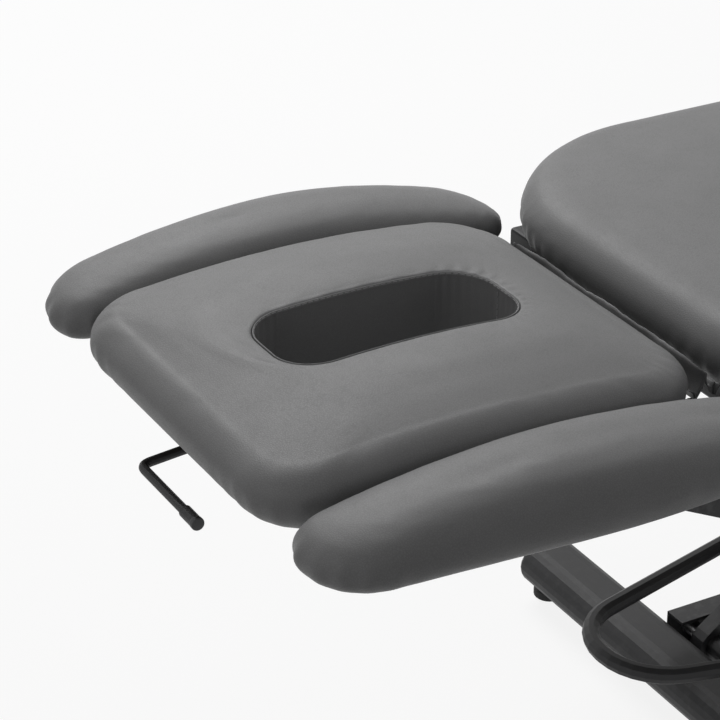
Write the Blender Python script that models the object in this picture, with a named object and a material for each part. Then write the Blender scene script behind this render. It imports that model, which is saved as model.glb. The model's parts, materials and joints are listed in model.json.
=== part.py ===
"""Electric massage table: three padded sections and two armrests on a scissor lift.

Metres, +Z up. The origin is on the floor under the middle of the table. +X points to the leg end,
so the head section with its face slot is at -X. The lift stands at its working height.
"""

import math

import bmesh
import bpy
from mathutils import Matrix, Vector

# Running clearance between a pin and its hole, and the gap that separate pieces keep
CLEARANCE = 0.0003

# Points closer than this are one point
WELD = 0.000004

# Ranges that the telescoping pieces have to cover, up being positive
LIFT_RANGE = (math.radians(-12), math.radians(21))
HEAD_RANGE = (math.radians(-40), math.radians(25))
LEG_RANGE = (math.radians(-30), math.radians(25))

# Padded top
CUSHION_THICK = 0.080
CUSHION_EDGE = 0.029
CUSHION_DRAW_IN = 0.027
CUSHION_BULGE = 0.53
SHOULDER_DROP = 0.008
BOARD_THICK = 0.015
BOARD_INSET = 0.036
COVER_CLEARANCE = 0.0006
SECTION_GAP = 0.034
HEAD_LENGTH = 0.473
HEAD_HALF_WIDTH = 0.221
HEAD_END_HALF_WIDTH = 0.217
HEAD_INNER_HALF_WIDTH = 0.217
HEAD_WIDEST = 0.40
HEAD_END_CORNER = 0.070
HEAD_INNER_CORNER = 0.080
HEAD_SIDE_RADIUS = 1.2
HEAD_RISE = 0.006
HEAD_END_DROP = 0.022
HEAD_PEAK = -0.02
MAIN_LENGTH = 0.906
MAIN_HALF_WIDTH = 0.347
MAIN_BULGE = 0.38
MAIN_DRAW_IN = 0.020
MAIN_HEAD_CORNER = 0.225
MAIN_LEG_CORNER = 0.045
LEG_LENGTH = 0.473
LEG_END_CORNER = 0.090

# Face slot in the head cushion
SLOT_LENGTH = 0.266
SLOT_WIDTH = 0.120
SLOT_TO_GAP = 0.100
SLOT_RIM_DIP = 0.0045
SLOT_CORNER = 0.044
SLOT_BOARD_MARGIN = 0.006
SLOT_RIM_ROUNDING = 0.010

# Rings of the padded forms: (share of the way, or of the rounding, and share of the fall)
SEAM_ANGLE = 70
UNDER_STEPS = 3
SHOULDER_STEPS = 5
CROWN_CORE = 0.25
CROWN_SHARES = (0.3, 0.62, 1.0)
SLOT_CROWN = ((0.25, 0.45), (0.5, 0.15), (0.75, 0.25))
SLOT_RIM = ((1.0, 0.6), (0.3, 1.0), (0.0, 1.9))

# Armrests
ARMREST_LENGTH = 0.528
ARMREST_START = 0.000
ARMREST_WIDTH = 0.126
ARMREST_SIDE_GAP = 0.003
ARMREST_END_DROP = 0.040
ARMREST_PEAK = -0.05
ARMREST_BOW = 0.025
ARMREST_BOW_SHIFT = 0.060
ARMREST_BOW_RADIUS = 0.90
ARMREST_EDGE = 0.023
ARMREST_DRAW_IN = 0.020
ARMREST_BULGE = 0.44
ARMREST_SHOULDER_DROP = 0.005
ARMREST_BOARD_INSET = 0.028
ARMREST_OUTER_CORNER = 0.066
ARMREST_INNER_CORNER = 0.036

# Folded gaiter in the gaps between the sections
GAITER_FOLDS = 2
GAITER_SHEET_DROP = 0.009
GAITER_HEIGHT = 0.022
GAITER_HALF_WIDTH = 0.190

# Cross feet and levelling feet
FOOT_PROFILE_WIDTH = 0.076
FOOT_PROFILE_HEIGHT = 0.048
FOOT_HALF_LENGTH = 0.335
FRONT_FOOT_X = -0.305
FOOT_END_BEVEL = 0.006
LEVELLER_RADIUS = 0.019
LEVELLER_THICK = 0.017
LEVELLER_STEM = 0.006
LEVELLER_HEIGHT = 0.022
LEVELLER_INSET = 0.012

# Channels of the lift, alike in the base and under the top
CHANNEL_HEIGHT = 0.050
CHANNEL_WIDTH = 0.030
CHANNEL_WALL = 0.004
CHANNEL_INNER_Y = 0.103
CHANNEL_END_ROOM = 0.006

# Scissor lift
ARM_LENGTH = 0.7386
ARM_ANGLE = math.radians(35.4)
ARM_HALF_HEIGHT = 0.025
ARM_THICK = 0.021
OUTER_ARM_Y = 0.073
INNER_ARM_Y = 0.049
LIFT_PIVOT_X = -0.237
SHAFT_RADIUS = 0.010
SLEEVE_RADIUS = 0.017
CROSS_TUBE_RADIUS = 0.014
GLIDE_LENGTH = 0.044
INNER_TUBE_FROM_END = 0.140

# Lifting actuator: both of its pivots lie at one distance from the lift pivot
ACTUATOR_RADIUS = 0.330
ACTUATOR_SPREAD = math.radians(32)
CRANK_TUBE_DISTANCE = 0.170
CRANK_PLATE_Y = 0.022
CRANK_PLATE_THICK = 0.006
ACTUATOR_PIN_RADIUS = 0.008
ACTUATOR_EYE_RADIUS = 0.016
ACTUATOR_BODY_RADIUS = 0.024
ACTUATOR_ROD_RADIUS = 0.013
ACTUATOR_ROD_END = 0.029
MOTOR_RADIUS = 0.028
MOTOR_LENGTH = 0.080
GEARBOX_LENGTH = 0.038

# Top frame
CROSS_MEMBER = 0.040
CROSS_MEMBER_HALF_LENGTH = 0.268
FRONT_MEMBER_FROM_HINGE = 0.078
REAR_MEMBER_FROM_HINGE = 0.052
TOP_RAIL_OVERHANG = 0.020
HINGE_PLATE_Y = 0.205
HINGE_PLATE_THICK = 0.006
HINGE_DROP = 0.020
HINGE_SHAFT_RADIUS = 0.008
HINGE_LUG_RADIUS = 0.018

# Frames of the two tilting sections
SECTION_TUBE = 0.025
SECTION_RAIL_Y = 0.170
SECTION_INNER_TUBE = 0.090
SECTION_OUTER_TUBE = 0.400
STRAP_Y = 0.086
STRAP_THICK = 0.006

# Lockable gas springs: both pivots of a spring lie at one distance from the section's hinge
SPRING_RADIUS = 0.160
SPRING_LUG_ANGLE = math.radians(10)
HEAD_ANCHOR_ANGLE = math.radians(50)
LEG_ANCHOR_ANGLE = math.radians(80)
SPRING_Y = 0.1465
SPRING_PLATE_Y = 0.159
SPRING_PLATE_THICK = 0.006
SPRING_CYLINDER_RADIUS = 0.011
SPRING_ROD_RADIUS = 0.005
SPRING_EYE_RADIUS = 0.011
SPRING_EYE_WIDTH = 0.012
SPRING_PIN_RADIUS = 0.006
SPRING_BORE_START = 0.016
SPRING_ROD_END = 0.014

# Release levers, bent from round rod
LEVER_RADIUS = 0.005
LEVER_Y = 0.069
LEVER_START = 0.178
LEVER_KINK = 0.362
LEVER_REACH = 0.4835
LEVER_BELOW_FRAME = 0.009
LEVER_DROP = 0.012
LEVER_GRIP = 0.124
LEVER_BEND = 0.011
LEVER_CAP_RADIUS = 0.0065
LEVER_CAP_LENGTH = 0.026
GUIDE_HALF_LENGTH = 0.006
GUIDE_PLACES = (0.205, 0.325)

# Armrest linkage, a parallelogram on each side
LINK_LENGTH = 0.160
LINK_ANGLE = math.radians(20)
LINK_RADIUS = 0.011
LINK_THICK = 0.008
LINK_PIN_RADIUS = 0.006
LINK_PIVOT_X = -0.320
LINK_PIVOT_DROP = 0.095
LINK_PAIR_X = 0.025
LINK_PAIR_Z = 0.040
LUG_PLATE_Y = 0.262
LUG_PLATE_THICK = 0.006
BRACKET_FLANGE_LENGTH = 0.170
BRACKET_FLANGE_GAP = 0.018
BRACKET_FLANGE_MARGIN = 0.008

# Foot bar: a rocking loop round the base that switches the lift
BAR_RADIUS = 0.010
BAR_HEIGHT = 0.148
BAR_HALF_WIDTH = 0.176
BAR_END_HALF_WIDTH = 0.060
BAR_FRONT_X = -0.450
BAR_END_RADIUS = 0.074
BAR_MID_HALF_LENGTH = 0.090
BAR_MID_RADIUS = 0.150
BAR_HUB_RADIUS = 0.014
BAR_PIN_RADIUS = 0.006
SUPPORT_WIDTH = 0.080
SUPPORT_THICK = 0.008
SUPPORT_MARGIN = 0.006
POST_Y = 0.155
POST_THICK = 0.006
POST_HALF_WIDTH = 0.016

# Control box under the main board, with its mains inlet
CONTROL_BOX_SIZE = (0.190, 0.110, 0.048)
CONTROL_BOX_X = 0.100
CONTROL_BOX_FROM_RAIL = 0.027
INLET_SIZE = (0.012, 0.048, 0.028)

# Places worked out from the sizes above
TOTAL_LENGTH = HEAD_LENGTH + MAIN_LENGTH + LEG_LENGTH + 2 * SECTION_GAP
HEAD_END = -TOTAL_LENGTH / 2
HEAD_INNER = HEAD_END + HEAD_LENGTH
MAIN_START = HEAD_INNER + SECTION_GAP
MAIN_END = MAIN_START + MAIN_LENGTH
LEG_INNER = MAIN_END + SECTION_GAP
LEG_END = LEG_INNER + LEG_LENGTH

FOOT_BOTTOM = LEVELLER_HEIGHT
FOOT_CENTRE_Z = FOOT_BOTTOM + FOOT_PROFILE_HEIGHT / 2
LIFT_PIVOT_Z = FOOT_CENTRE_Z


def polar(origin, distance, angle):
    """The point (x, z) at a distance from origin, the angle counted up from +X."""
    return (origin[0] + distance * math.cos(angle), origin[1] + distance * math.sin(angle))


LIFT_PIVOT = (LIFT_PIVOT_X, LIFT_PIVOT_Z)
LIFT_CENTRE = polar(LIFT_PIVOT, ARM_LENGTH / 2, ARM_ANGLE)
UPPER_GLIDE = polar(LIFT_PIVOT, ARM_LENGTH, ARM_ANGLE)
GLIDE_FURTHEST_X = LIFT_PIVOT_X + ARM_LENGTH * math.cos(ARM_ANGLE + LIFT_RANGE[0])
CHANNEL_END = GLIDE_FURTHEST_X + GLIDE_LENGTH / 2 + CHANNEL_END_ROOM
REAR_FOOT_X = CHANNEL_END + CLEARANCE + FOOT_PROFILE_WIDTH / 2
LOWER_GLIDE = (UPPER_GLIDE[0], LIFT_PIVOT_Z)
TOP_PIVOT = (LIFT_PIVOT_X, UPPER_GLIDE[1])
CHANNEL_OUTER_Y = CHANNEL_INNER_Y + CHANNEL_WIDTH

ACTUATOR_PIN = polar(LIFT_PIVOT, ACTUATOR_RADIUS, ARM_ANGLE + ACTUATOR_SPREAD)
ACTUATOR_FOOT = polar(LIFT_PIVOT, ACTUATOR_RADIUS, ARM_ANGLE - ACTUATOR_SPREAD)
CRANK_TUBE = polar(LIFT_PIVOT, CRANK_TUBE_DISTANCE, ARM_ANGLE)

TOP_RAIL_Z = TOP_PIVOT[1]
MEMBER_BOTTOM = TOP_RAIL_Z + CHANNEL_HEIGHT / 2 + CLEARANCE
MEMBER_TOP = MEMBER_BOTTOM + CROSS_MEMBER
BOARD_BOTTOM = MEMBER_TOP + CLEARANCE
BOARD_TOP = BOARD_BOTTOM + BOARD_THICK
CUSHION_BOTTOM = BOARD_BOTTOM

HINGE_Z = BOARD_BOTTOM - HINGE_DROP
HEAD_HINGE = ((HEAD_INNER + MAIN_START) / 2, HINGE_Z)
LEG_HINGE = ((MAIN_END + LEG_INNER) / 2, HINGE_Z)
FRONT_MEMBER_X = HEAD_HINGE[0] + FRONT_MEMBER_FROM_HINGE
REAR_MEMBER_X = LEG_HINGE[0] - REAR_MEMBER_FROM_HINGE
CONTROL_BOX_Y = -(CHANNEL_OUTER_Y + CONTROL_BOX_FROM_RAIL + CONTROL_BOX_SIZE[1] / 2)
SECTION_FRAME_TOP = BOARD_BOTTOM - CLEARANCE
SECTION_FRAME_BOTTOM = SECTION_FRAME_TOP - SECTION_TUBE
LEVER_Z = SECTION_FRAME_BOTTOM - LEVER_RADIUS - LEVER_BELOW_FRAME

LINK_PIVOT = (LINK_PIVOT_X, BOARD_BOTTOM - LINK_PIVOT_DROP)
STAY_PIVOT = (LINK_PIVOT[0] + LINK_PAIR_X, LINK_PIVOT[1] - LINK_PAIR_Z)
LINK_END = polar(LINK_PIVOT, LINK_LENGTH, math.pi - LINK_ANGLE)
STAY_END = polar(STAY_PIVOT, LINK_LENGTH, math.pi - LINK_ANGLE)
LINK_Y = LUG_PLATE_Y + LUG_PLATE_THICK + 0.0025
BRACKET_Y = LINK_Y + LINK_THICK + 0.0025
ARMREST_INNER_Y = HEAD_HALF_WIDTH + ARMREST_SIDE_GAP
SPRING_PIN_START = SPRING_Y - SPRING_EYE_WIDTH / 2 - 0.002

BAR_CENTRE_X = (FRONT_FOOT_X + REAR_FOOT_X) / 2
BAR_FRONT_REACH = BAR_CENTRE_X - BAR_FRONT_X
BAR_PIVOT = (BAR_CENTRE_X, BAR_HEIGHT)
SUPPORT_TOP = LIFT_PIVOT_Z - CHANNEL_HEIGHT / 2 - CLEARANCE

# One pivot (x, y, z) for each body that moves, and the body that carries it
BODIES = {
    "base": (None, (0, 0, 0)),
    "outer_arms": ("base", (LIFT_PIVOT[0], 0, LIFT_PIVOT[1])),
    "inner_arms": ("outer_arms", (LIFT_CENTRE[0], 0, LIFT_CENTRE[1])),
    "upper_glides": ("outer_arms", (UPPER_GLIDE[0], 0, UPPER_GLIDE[1])),
    "lower_glides": ("inner_arms", (LOWER_GLIDE[0], 0, LOWER_GLIDE[1])),
    "actuator_body": ("base", (ACTUATOR_FOOT[0], 0, ACTUATOR_FOOT[1])),
    "actuator_piston": ("outer_arms", (ACTUATOR_PIN[0], 0, ACTUATOR_PIN[1])),
    "top_frame": ("inner_arms", (TOP_PIVOT[0], 0, TOP_PIVOT[1])),
    "head_section": ("top_frame", (HEAD_HINGE[0], 0, HEAD_HINGE[1])),
    "leg_section": ("top_frame", (LEG_HINGE[0], 0, LEG_HINGE[1])),
    "foot_bar": ("base", (BAR_PIVOT[0], 0, BAR_PIVOT[1])),
}
SIDES = {"left": 1, "right": -1}
SECTIONS = {
    "head": (-1, HEAD_HINGE, HEAD_ANCHOR_ANGLE, HEAD_RANGE),
    "leg": (1, LEG_HINGE, LEG_ANCHOR_ANGLE, LEG_RANGE),
}


def spring_pivots(section):
    """The anchor on the top frame and the lug on the section frame, as (x, z)."""
    way, hinge, anchor_angle, _ = SECTIONS[section]
    anchor = (hinge[0] - way * SPRING_RADIUS * math.cos(anchor_angle),
              hinge[1] - SPRING_RADIUS * math.sin(anchor_angle))
    lug = (hinge[0] + way * SPRING_RADIUS * math.cos(SPRING_LUG_ANGLE),
           hinge[1] - SPRING_RADIUS * math.sin(SPRING_LUG_ANGLE))
    return anchor, lug


for section_name, (direction, section_hinge, _, _) in SECTIONS.items():
    spring_anchor, spring_lug = spring_pivots(section_name)
    BODIES[section_name + "_spring_cylinder"] = ("top_frame", (spring_anchor[0], SPRING_Y, spring_anchor[1]))
    BODIES[section_name + "_spring_rod"] = (
        section_name + "_section", (spring_lug[0], SPRING_Y, spring_lug[1]))
    BODIES[section_name + "_lever"] = (
        section_name + "_section", (section_hinge[0] + direction * LEVER_START, LEVER_Y, LEVER_Z))
for side_name, side_sign in SIDES.items():
    BODIES["armrest_link_" + side_name] = ("top_frame", (LINK_PIVOT[0], side_sign * LINK_Y, LINK_PIVOT[1]))
    BODIES["armrest_stay_" + side_name] = ("top_frame", (STAY_PIVOT[0], side_sign * LINK_Y, STAY_PIVOT[1]))
    BODIES["armrest_" + side_name] = (
        "armrest_link_" + side_name, (LINK_END[0], side_sign * LINK_Y, LINK_END[1]))


def clear_scene():
    for obj in list(bpy.data.objects):
        bpy.data.objects.remove(obj, do_unlink=True)


def material(name, colour, roughness, metallic=0.0):
    made = bpy.data.materials.new(name)
    made.use_nodes = True
    shader = made.node_tree.nodes["Principled BSDF"]
    shader.inputs["Base Color"].default_value = (*colour, 1)
    shader.inputs["Roughness"].default_value = roughness
    shader.inputs["Metallic"].default_value = metallic
    return made


def make_materials():
    return {
        "leather": material("grey_leatherette", (0.110, 0.110, 0.112), 0.48),
        "gaiter": material("gaiter_vinyl", (0.045, 0.045, 0.047), 0.50),
        "frame": material("black_powder_coat", (0.018, 0.018, 0.019), 0.55, 0.2),
        "steel": material("bright_steel", (0.52, 0.52, 0.53), 0.30, 1.0),
        "plastic": material("black_plastic", (0.020, 0.020, 0.021), 0.45),
        "glide": material("pale_nylon", (0.62, 0.61, 0.57), 0.50),
        "rubber": material("black_rubber", (0.016, 0.016, 0.016), 0.80),
        "wood": material("birch_plywood", (0.50, 0.36, 0.21), 0.60),
    }


def make_empties():
    """One empty for each body, on its joint's axis, parented as the joints are."""
    empties = {}
    for body, (parent, place) in BODIES.items():
        empty = bpy.data.objects.new(body + "_axis", None)
        empty.empty_display_size = 0.05
        bpy.context.scene.collection.objects.link(empty)
        if parent:
            empty.parent = empties[parent]
            empty.location = Vector(place) - Vector(BODIES[parent][1])
        empties[body] = empty
    return empties


def shape(bm):
    """A loose object made from bm, its faces turned outward."""
    bmesh.ops.recalc_face_normals(bm, faces=bm.faces)
    mesh = bpy.data.meshes.new("shape")
    bm.to_mesh(mesh)
    bm.free()
    obj = bpy.data.objects.new("shape", mesh)
    bpy.context.scene.collection.objects.link(obj)
    return obj


def box(low, high):
    bm = bmesh.new()
    bmesh.ops.create_cube(bm, size=1.0)
    size = [high[i] - low[i] for i in range(3)]
    middle = [(high[i] + low[i]) / 2 for i in range(3)]
    bmesh.ops.scale(bm, vec=size, verts=bm.verts)
    bmesh.ops.translate(bm, vec=middle, verts=bm.verts)
    return shape(bm)


def cylinder(start, end, radius, sides=24):
    """A round bar between two points."""
    start, end = Vector(start), Vector(end)
    along = end - start
    turn = along.to_track_quat("Z", "Y").to_matrix().to_4x4()
    bm = bmesh.new()
    bmesh.ops.create_cone(bm, cap_ends=True, segments=sides, radius1=radius, radius2=radius,
                          depth=along.length)
    bmesh.ops.transform(bm, matrix=Matrix.Translation((start + end) / 2) @ turn, verts=bm.verts)
    return shape(bm)


def pin_y(place, radius, y_from, y_to, sides=24):
    """A round bar across the table, at place (x, z)."""
    return cylinder((place[0], y_from, place[1]), (place[0], y_to, place[1]), radius, sides)


def prism(outline, plane, low, high):
    """The closed outline, in the plane XY, XZ or YZ, extruded along the third axis."""
    def point(pair, level):
        first, second = pair
        return {"XY": (first, second, level),
                "XZ": (first, level, second),
                "YZ": (level, first, second)}[plane]

    bm = bmesh.new()
    face = bm.faces.new([bm.verts.new(point(pair, low)) for pair in outline])
    grown = bmesh.ops.extrude_face_region(bm, geom=[face])
    moved = [item for item in grown["geom"] if isinstance(item, bmesh.types.BMVert)]
    shift = Vector(point((0, 0), high)) - Vector(point((0, 0), low))
    bmesh.ops.translate(bm, vec=shift, verts=moved)
    return shape(bm)


def arc(centre, radius, start, end, steps):
    return [(centre[0] + radius * math.cos(start + (end - start) * i / steps),
             centre[1] + radius * math.sin(start + (end - start) * i / steps)) for i in range(steps + 1)]


def capsule(start, end, radius, steps=8):
    """The outline of a flat bar with round ends, between two points."""
    heading = math.atan2(end[1] - start[1], end[0] - start[0])
    return (arc(end, radius, heading - math.pi / 2, heading + math.pi / 2, steps)
            + arc(start, radius, heading + math.pi / 2, heading + 3 * math.pi / 2, steps))


def rounded_polygon(corners, steps=6):
    """Corners (x, y, radius) counter-clockwise, each rounded by an arc of its radius."""
    outline = []
    for index, (x, y, radius) in enumerate(corners):
        corner = Vector((x, y))
        before = (Vector(corners[index - 1][:2]) - corner).normalized()
        after = (Vector(corners[(index + 1) % len(corners)][:2]) - corner).normalized()
        half_angle = before.angle(after) / 2
        centre = corner + (before + after).normalized() * radius / math.sin(half_angle)
        first = centre - corner
        start = corner + before * (radius / math.tan(half_angle)) - centre
        end = corner + after * (radius / math.tan(half_angle)) - centre
        start_angle = math.atan2(start.y, start.x)
        turn = (math.atan2(end.y, end.x) - start_angle + math.pi) % (2 * math.pi) - math.pi
        if first.length > 0:
            outline += arc(centre, radius, start_angle, start_angle + turn, steps)
    return outline


def tube_outline(centre, width, height, corner=0.003, steps=2):
    """A rounded rectangle about centre."""
    a, b = width / 2, height / 2
    x, y = centre
    return rounded_polygon([(x - a, y - b, corner), (x + a, y - b, corner),
                            (x + a, y + b, corner), (x - a, y + b, corner)], steps)


def rod(points, radius, cyclic=False, resolution=3):
    """A bent round rod with filled ends, as a mesh."""
    curve = bpy.data.curves.new("rod", "CURVE")
    curve.dimensions = "3D"
    curve.bevel_depth = radius
    curve.bevel_resolution = resolution
    curve.use_fill_caps = not cyclic
    spline = curve.splines.new("POLY")
    spline.points.add(len(points) - 1)
    for point, place in zip(spline.points, points):
        point.co = (*place, 1)
    spline.use_cyclic_u = cyclic
    carrier = bpy.data.objects.new("rod", curve)
    bpy.context.scene.collection.objects.link(carrier)
    graph = bpy.context.evaluated_depsgraph_get()
    mesh = bpy.data.meshes.new_from_object(carrier.evaluated_get(graph))
    bpy.data.objects.remove(carrier, do_unlink=True)
    bm = bmesh.new()
    bm.from_mesh(mesh)
    bmesh.ops.remove_doubles(bm, verts=bm.verts, dist=1e-6)
    return shape(bm)


def boolean(target, tool, operation):
    """Unites tool with target, or cuts it out, and removes the tool."""
    modifier = target.modifiers.new(operation.lower(), "BOOLEAN")
    modifier.operation = operation
    modifier.solver = "EXACT"
    modifier.object = tool
    graph = bpy.context.evaluated_depsgraph_get()
    result = bpy.data.meshes.new_from_object(target.evaluated_get(graph))
    bm = bmesh.new()
    bm.from_mesh(result)
    bmesh.ops.remove_doubles(bm, verts=bm.verts, dist=WELD)
    bmesh.ops.dissolve_degenerate(bm, edges=bm.edges, dist=WELD)
    bm.to_mesh(result)
    bm.free()
    target.modifiers.clear()
    target.data = result
    bpy.data.objects.remove(tool, do_unlink=True)


class Builder:
    """Turns loose shapes into named pieces on their bodies."""

    def __init__(self):
        clear_scene()
        self.materials = make_materials()
        self.empties = make_empties()

    def piece(self, name, body, finish, adds, cuts=(), smooth=30):
        """One named sub-part: the first shape, the others united with it, and the cuts taken out."""
        adds = list(adds)
        made = adds[0]
        for extra in adds[1:]:
            boolean(made, extra, "UNION")
        for cutter in cuts:
            boolean(made, cutter, "DIFFERENCE")
        made.name = name
        made.data.name = name
        made.data.materials.clear()
        made.data.materials.append(self.materials[finish])
        made.data.transform(Matrix.Translation(-Vector(BODIES[body][1])))
        made.parent = self.empties[body]
        made.data.shade_smooth()
        made.data.set_sharp_from_angle(angle=math.radians(smooth))
        return made


# Padded forms

def resample(outline, count):
    """count points round the outline, evenly spaced between its extremes at +X, +Y, -X and -Y."""
    corners = []
    for a in (0, math.pi / 2, math.pi, 3 * math.pi / 2):
        reach = [x * math.cos(a) + y * math.sin(a) - 1e-3 * abs(x * math.sin(a) - y * math.cos(a))
                 for x, y in outline]
        corners.append(reach.index(max(reach)))
    points = []
    per_quarter = count // 4
    for index, start in enumerate(corners):
        stretch = [outline[start]]
        step = start
        while step != corners[(index + 1) % 4]:
            step = (step + 1) % len(outline)
            stretch.append(outline[step])
        lengths = [0.0]
        for one, two in zip(stretch, stretch[1:]):
            lengths.append(lengths[-1] + math.dist(one, two))
        for k in range(per_quarter):
            wanted = lengths[-1] * k / per_quarter
            j = max(i for i, length in enumerate(lengths[:-1]) if length <= wanted)
            share = (wanted - lengths[j]) / max(lengths[j + 1] - lengths[j], 1e-9)
            points.append(tuple(a + (b - a) * share for a, b in zip(stretch[j], stretch[j + 1])))
    return points


def inset(points, distance):
    """The points moved inward, square to the outline."""
    moved = []
    count = len(points)
    for i, (x, y) in enumerate(points):
        ahead, behind = points[(i + 1) % count], points[i - 1]
        tangent = Vector((ahead[0] - behind[0], ahead[1] - behind[1])).normalized()
        moved.append((x - tangent.y * distance, y + tangent.x * distance))
    return moved


def towards_spine(points, share):
    """The points drawn in to the given share of their distance from the pad's middle line."""
    low = [min(p[k] for p in points) for k in (0, 1)]
    high = [max(p[k] for p in points) for k in (0, 1)]
    middle = [(a + b) / 2 for a, b in zip(low, high)]
    half = [(b - a) / 2 for a, b in zip(low, high)]
    spare = [max(h - min(half), 0) for h in half]
    drawn = []
    for point in points:
        near = [middle[k] + max(-spare[k], min(spare[k], point[k] - middle[k])) for k in (0, 1)]
        drawn.append(tuple(near[k] + (point[k] - near[k]) * share for k in (0, 1)))
    return drawn


def blend(ring, target, share):
    return [tuple(a + (b - a) * share for a, b in zip(p, q)) for p, q in zip(ring, target)]


def edge_profile(form):
    """(inset, height) from the bottom seam, out over the bulge and in over the rounded shoulder."""
    middle = CUSHION_THICK * form.bulge
    deepest = math.radians(SEAM_ANGLE)
    rows = []
    for step in range(UNDER_STEPS):
        turn = deepest * (UNDER_STEPS - step) / UNDER_STEPS
        rows.append((form.draw_in * (1 - math.cos(turn)) / (1 - math.cos(deepest)),
                     middle * (1 - math.sin(turn) / math.sin(deepest))))
    rows.append((0.0, middle))
    rise = CUSHION_THICK - form.shoulder_drop - middle
    for step in range(1, SHOULDER_STEPS + 1):
        turn = math.pi / 2 * step / SHOULDER_STEPS
        rows.append((form.edge * (1 - math.cos(turn)), middle + rise * math.sin(turn)))
    return rows


def loft(rings, ring_shaped):
    """Rings of (x, y, z) points joined in turn, the first and last closed, or joined if it's ring-shaped."""
    bm = bmesh.new()
    layers = [[bm.verts.new(point) for point in ring] for ring in rings]
    pairs = list(zip(layers, layers[1:]))
    if ring_shaped:
        pairs.append((layers[-1], layers[0]))
    for low, high in pairs:
        for i in range(len(low)):
            j = (i + 1) % len(low)
            bm.faces.new((low[i], low[j], high[j], high[i]))
    if not ring_shaped:
        bm.faces.new(layers[0])
        bm.faces.new(layers[-1])
    return shape(bm)


def level(points, height):
    return [(x, y, height) for x, y in points]


def pocket(outline):
    """The room in a cushion's underside that its board fills."""
    return prism(outline, "XY", BOARD_BOTTOM - 0.01, BOARD_TOP + CLEARANCE)


class PadForm:
    """How a pad is stuffed: its edge, and how far its middle rises and its ends fall."""

    def __init__(self, edge=CUSHION_EDGE, draw_in=CUSHION_DRAW_IN, bulge=CUSHION_BULGE,
                 shoulder_drop=SHOULDER_DROP, rise=0.0, end_drop=0.0, peak=0.0):
        self.edge = edge
        self.draw_in = draw_in
        self.bulge = bulge
        self.shoulder_drop = shoulder_drop
        self.rise = rise
        self.end_drop = end_drop
        self.peak = peak

    def arch(self, x, outer):
        """The pad's height at x, as a share of its thickness."""
        low, high = min(p[0] for p in outer), max(p[0] for p in outer)
        share = (x - (high + low) / 2) / ((high - low) / 2) - self.peak
        return 1 + (self.rise - self.end_drop * share ** 2) / CUSHION_THICK


def cushion(outline, count, form, slot=None):
    """A crowned pad over outline, its sides drawn in under their bulge."""
    outer = resample(outline, count)
    rings = [level(inset(outer, distance), height) for distance, height in edge_profile(form)]
    shoulder = inset(outer, form.edge)
    if slot is None:
        core = towards_spine(shoulder, CROWN_CORE)
        for share in CROWN_SHARES:
            fall = form.shoulder_drop * (1 - share) ** 2
            rings.append(level(blend(shoulder, core, share), CUSHION_THICK - fall))
    else:
        rim = resample(slot, count)
        collar = inset(rim, -SLOT_RIM_ROUNDING)
        for share, fall in SLOT_CROWN:
            rings.append(level(blend(shoulder, collar, share), CUSHION_THICK - form.shoulder_drop * fall))
        for grow, drop in SLOT_RIM:
            rings.append(level(inset(rim, -SLOT_RIM_ROUNDING * grow), CUSHION_THICK - SLOT_RIM_DIP * drop))
        rings.append(level(rim, 0.0))
    for ring in rings:
        ring[:] = [(x, y, CUSHION_BOTTOM + z * form.arch(x, outer)) for x, y, z in ring]
    return loft(rings, ring_shaped=slot is not None)


def head_outline(shrink=0.0):
    half, end_half = HEAD_HALF_WIDTH - shrink, HEAD_END_HALF_WIDTH - shrink
    widest = HEAD_INNER - HEAD_WIDEST * HEAD_LENGTH
    low, high = HEAD_END + shrink, HEAD_INNER - shrink
    inner_half = HEAD_INNER_HALF_WIDTH - shrink
    return rounded_polygon([
        (low, -end_half, HEAD_END_CORNER - shrink),
        (widest, -half, HEAD_SIDE_RADIUS),
        (high, -inner_half, HEAD_INNER_CORNER - shrink),
        (high, inner_half, HEAD_INNER_CORNER - shrink),
        (widest, half, HEAD_SIDE_RADIUS),
        (low, end_half, HEAD_END_CORNER - shrink)], 8)


def main_outline(shrink=0.0):
    low, high, half = MAIN_START + shrink, MAIN_END - shrink, MAIN_HALF_WIDTH - shrink
    return rounded_polygon([
        (low, -half, MAIN_HEAD_CORNER - shrink), (high, -half, MAIN_LEG_CORNER - shrink),
        (high, half, MAIN_LEG_CORNER - shrink), (low, half, MAIN_HEAD_CORNER - shrink)], 10)


def leg_outline(shrink=0.0):
    low, high, half = LEG_INNER + shrink, LEG_END - shrink, MAIN_HALF_WIDTH - shrink
    return rounded_polygon([
        (low, -half, MAIN_LEG_CORNER - shrink), (high, -half, LEG_END_CORNER - shrink),
        (high, half, LEG_END_CORNER - shrink), (low, half, MAIN_LEG_CORNER - shrink)], 10)


def slot_outline(grow=0.0):
    high = HEAD_INNER - SLOT_TO_GAP + grow
    low = high - SLOT_LENGTH - 2 * grow
    half = SLOT_WIDTH / 2 + grow
    corner = SLOT_CORNER + grow
    corners = [(low, -half, corner), (high, -half, corner), (high, half, corner), (low, half, corner)]
    return rounded_polygon(corners, 8)


def armrest_outline(sign, shrink=0.0):
    start = HEAD_END + ARMREST_START
    low, high = start + shrink, start + ARMREST_LENGTH - shrink
    inner = ARMREST_INNER_Y + shrink
    outer = ARMREST_INNER_Y + ARMREST_WIDTH - ARMREST_BOW - shrink
    corners = [(low, inner, ARMREST_INNER_CORNER - shrink), (high, inner, ARMREST_INNER_CORNER - shrink),
               (high, outer, ARMREST_OUTER_CORNER - shrink),
               ((low + high) / 2 + ARMREST_BOW_SHIFT, outer + ARMREST_BOW, ARMREST_BOW_RADIUS),
               (low, outer, ARMREST_OUTER_CORNER - shrink)]
    if sign < 0:
        corners = [(x, -y, radius) for x, y, radius in reversed(corners)]
    return rounded_polygon(corners, 8)


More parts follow.
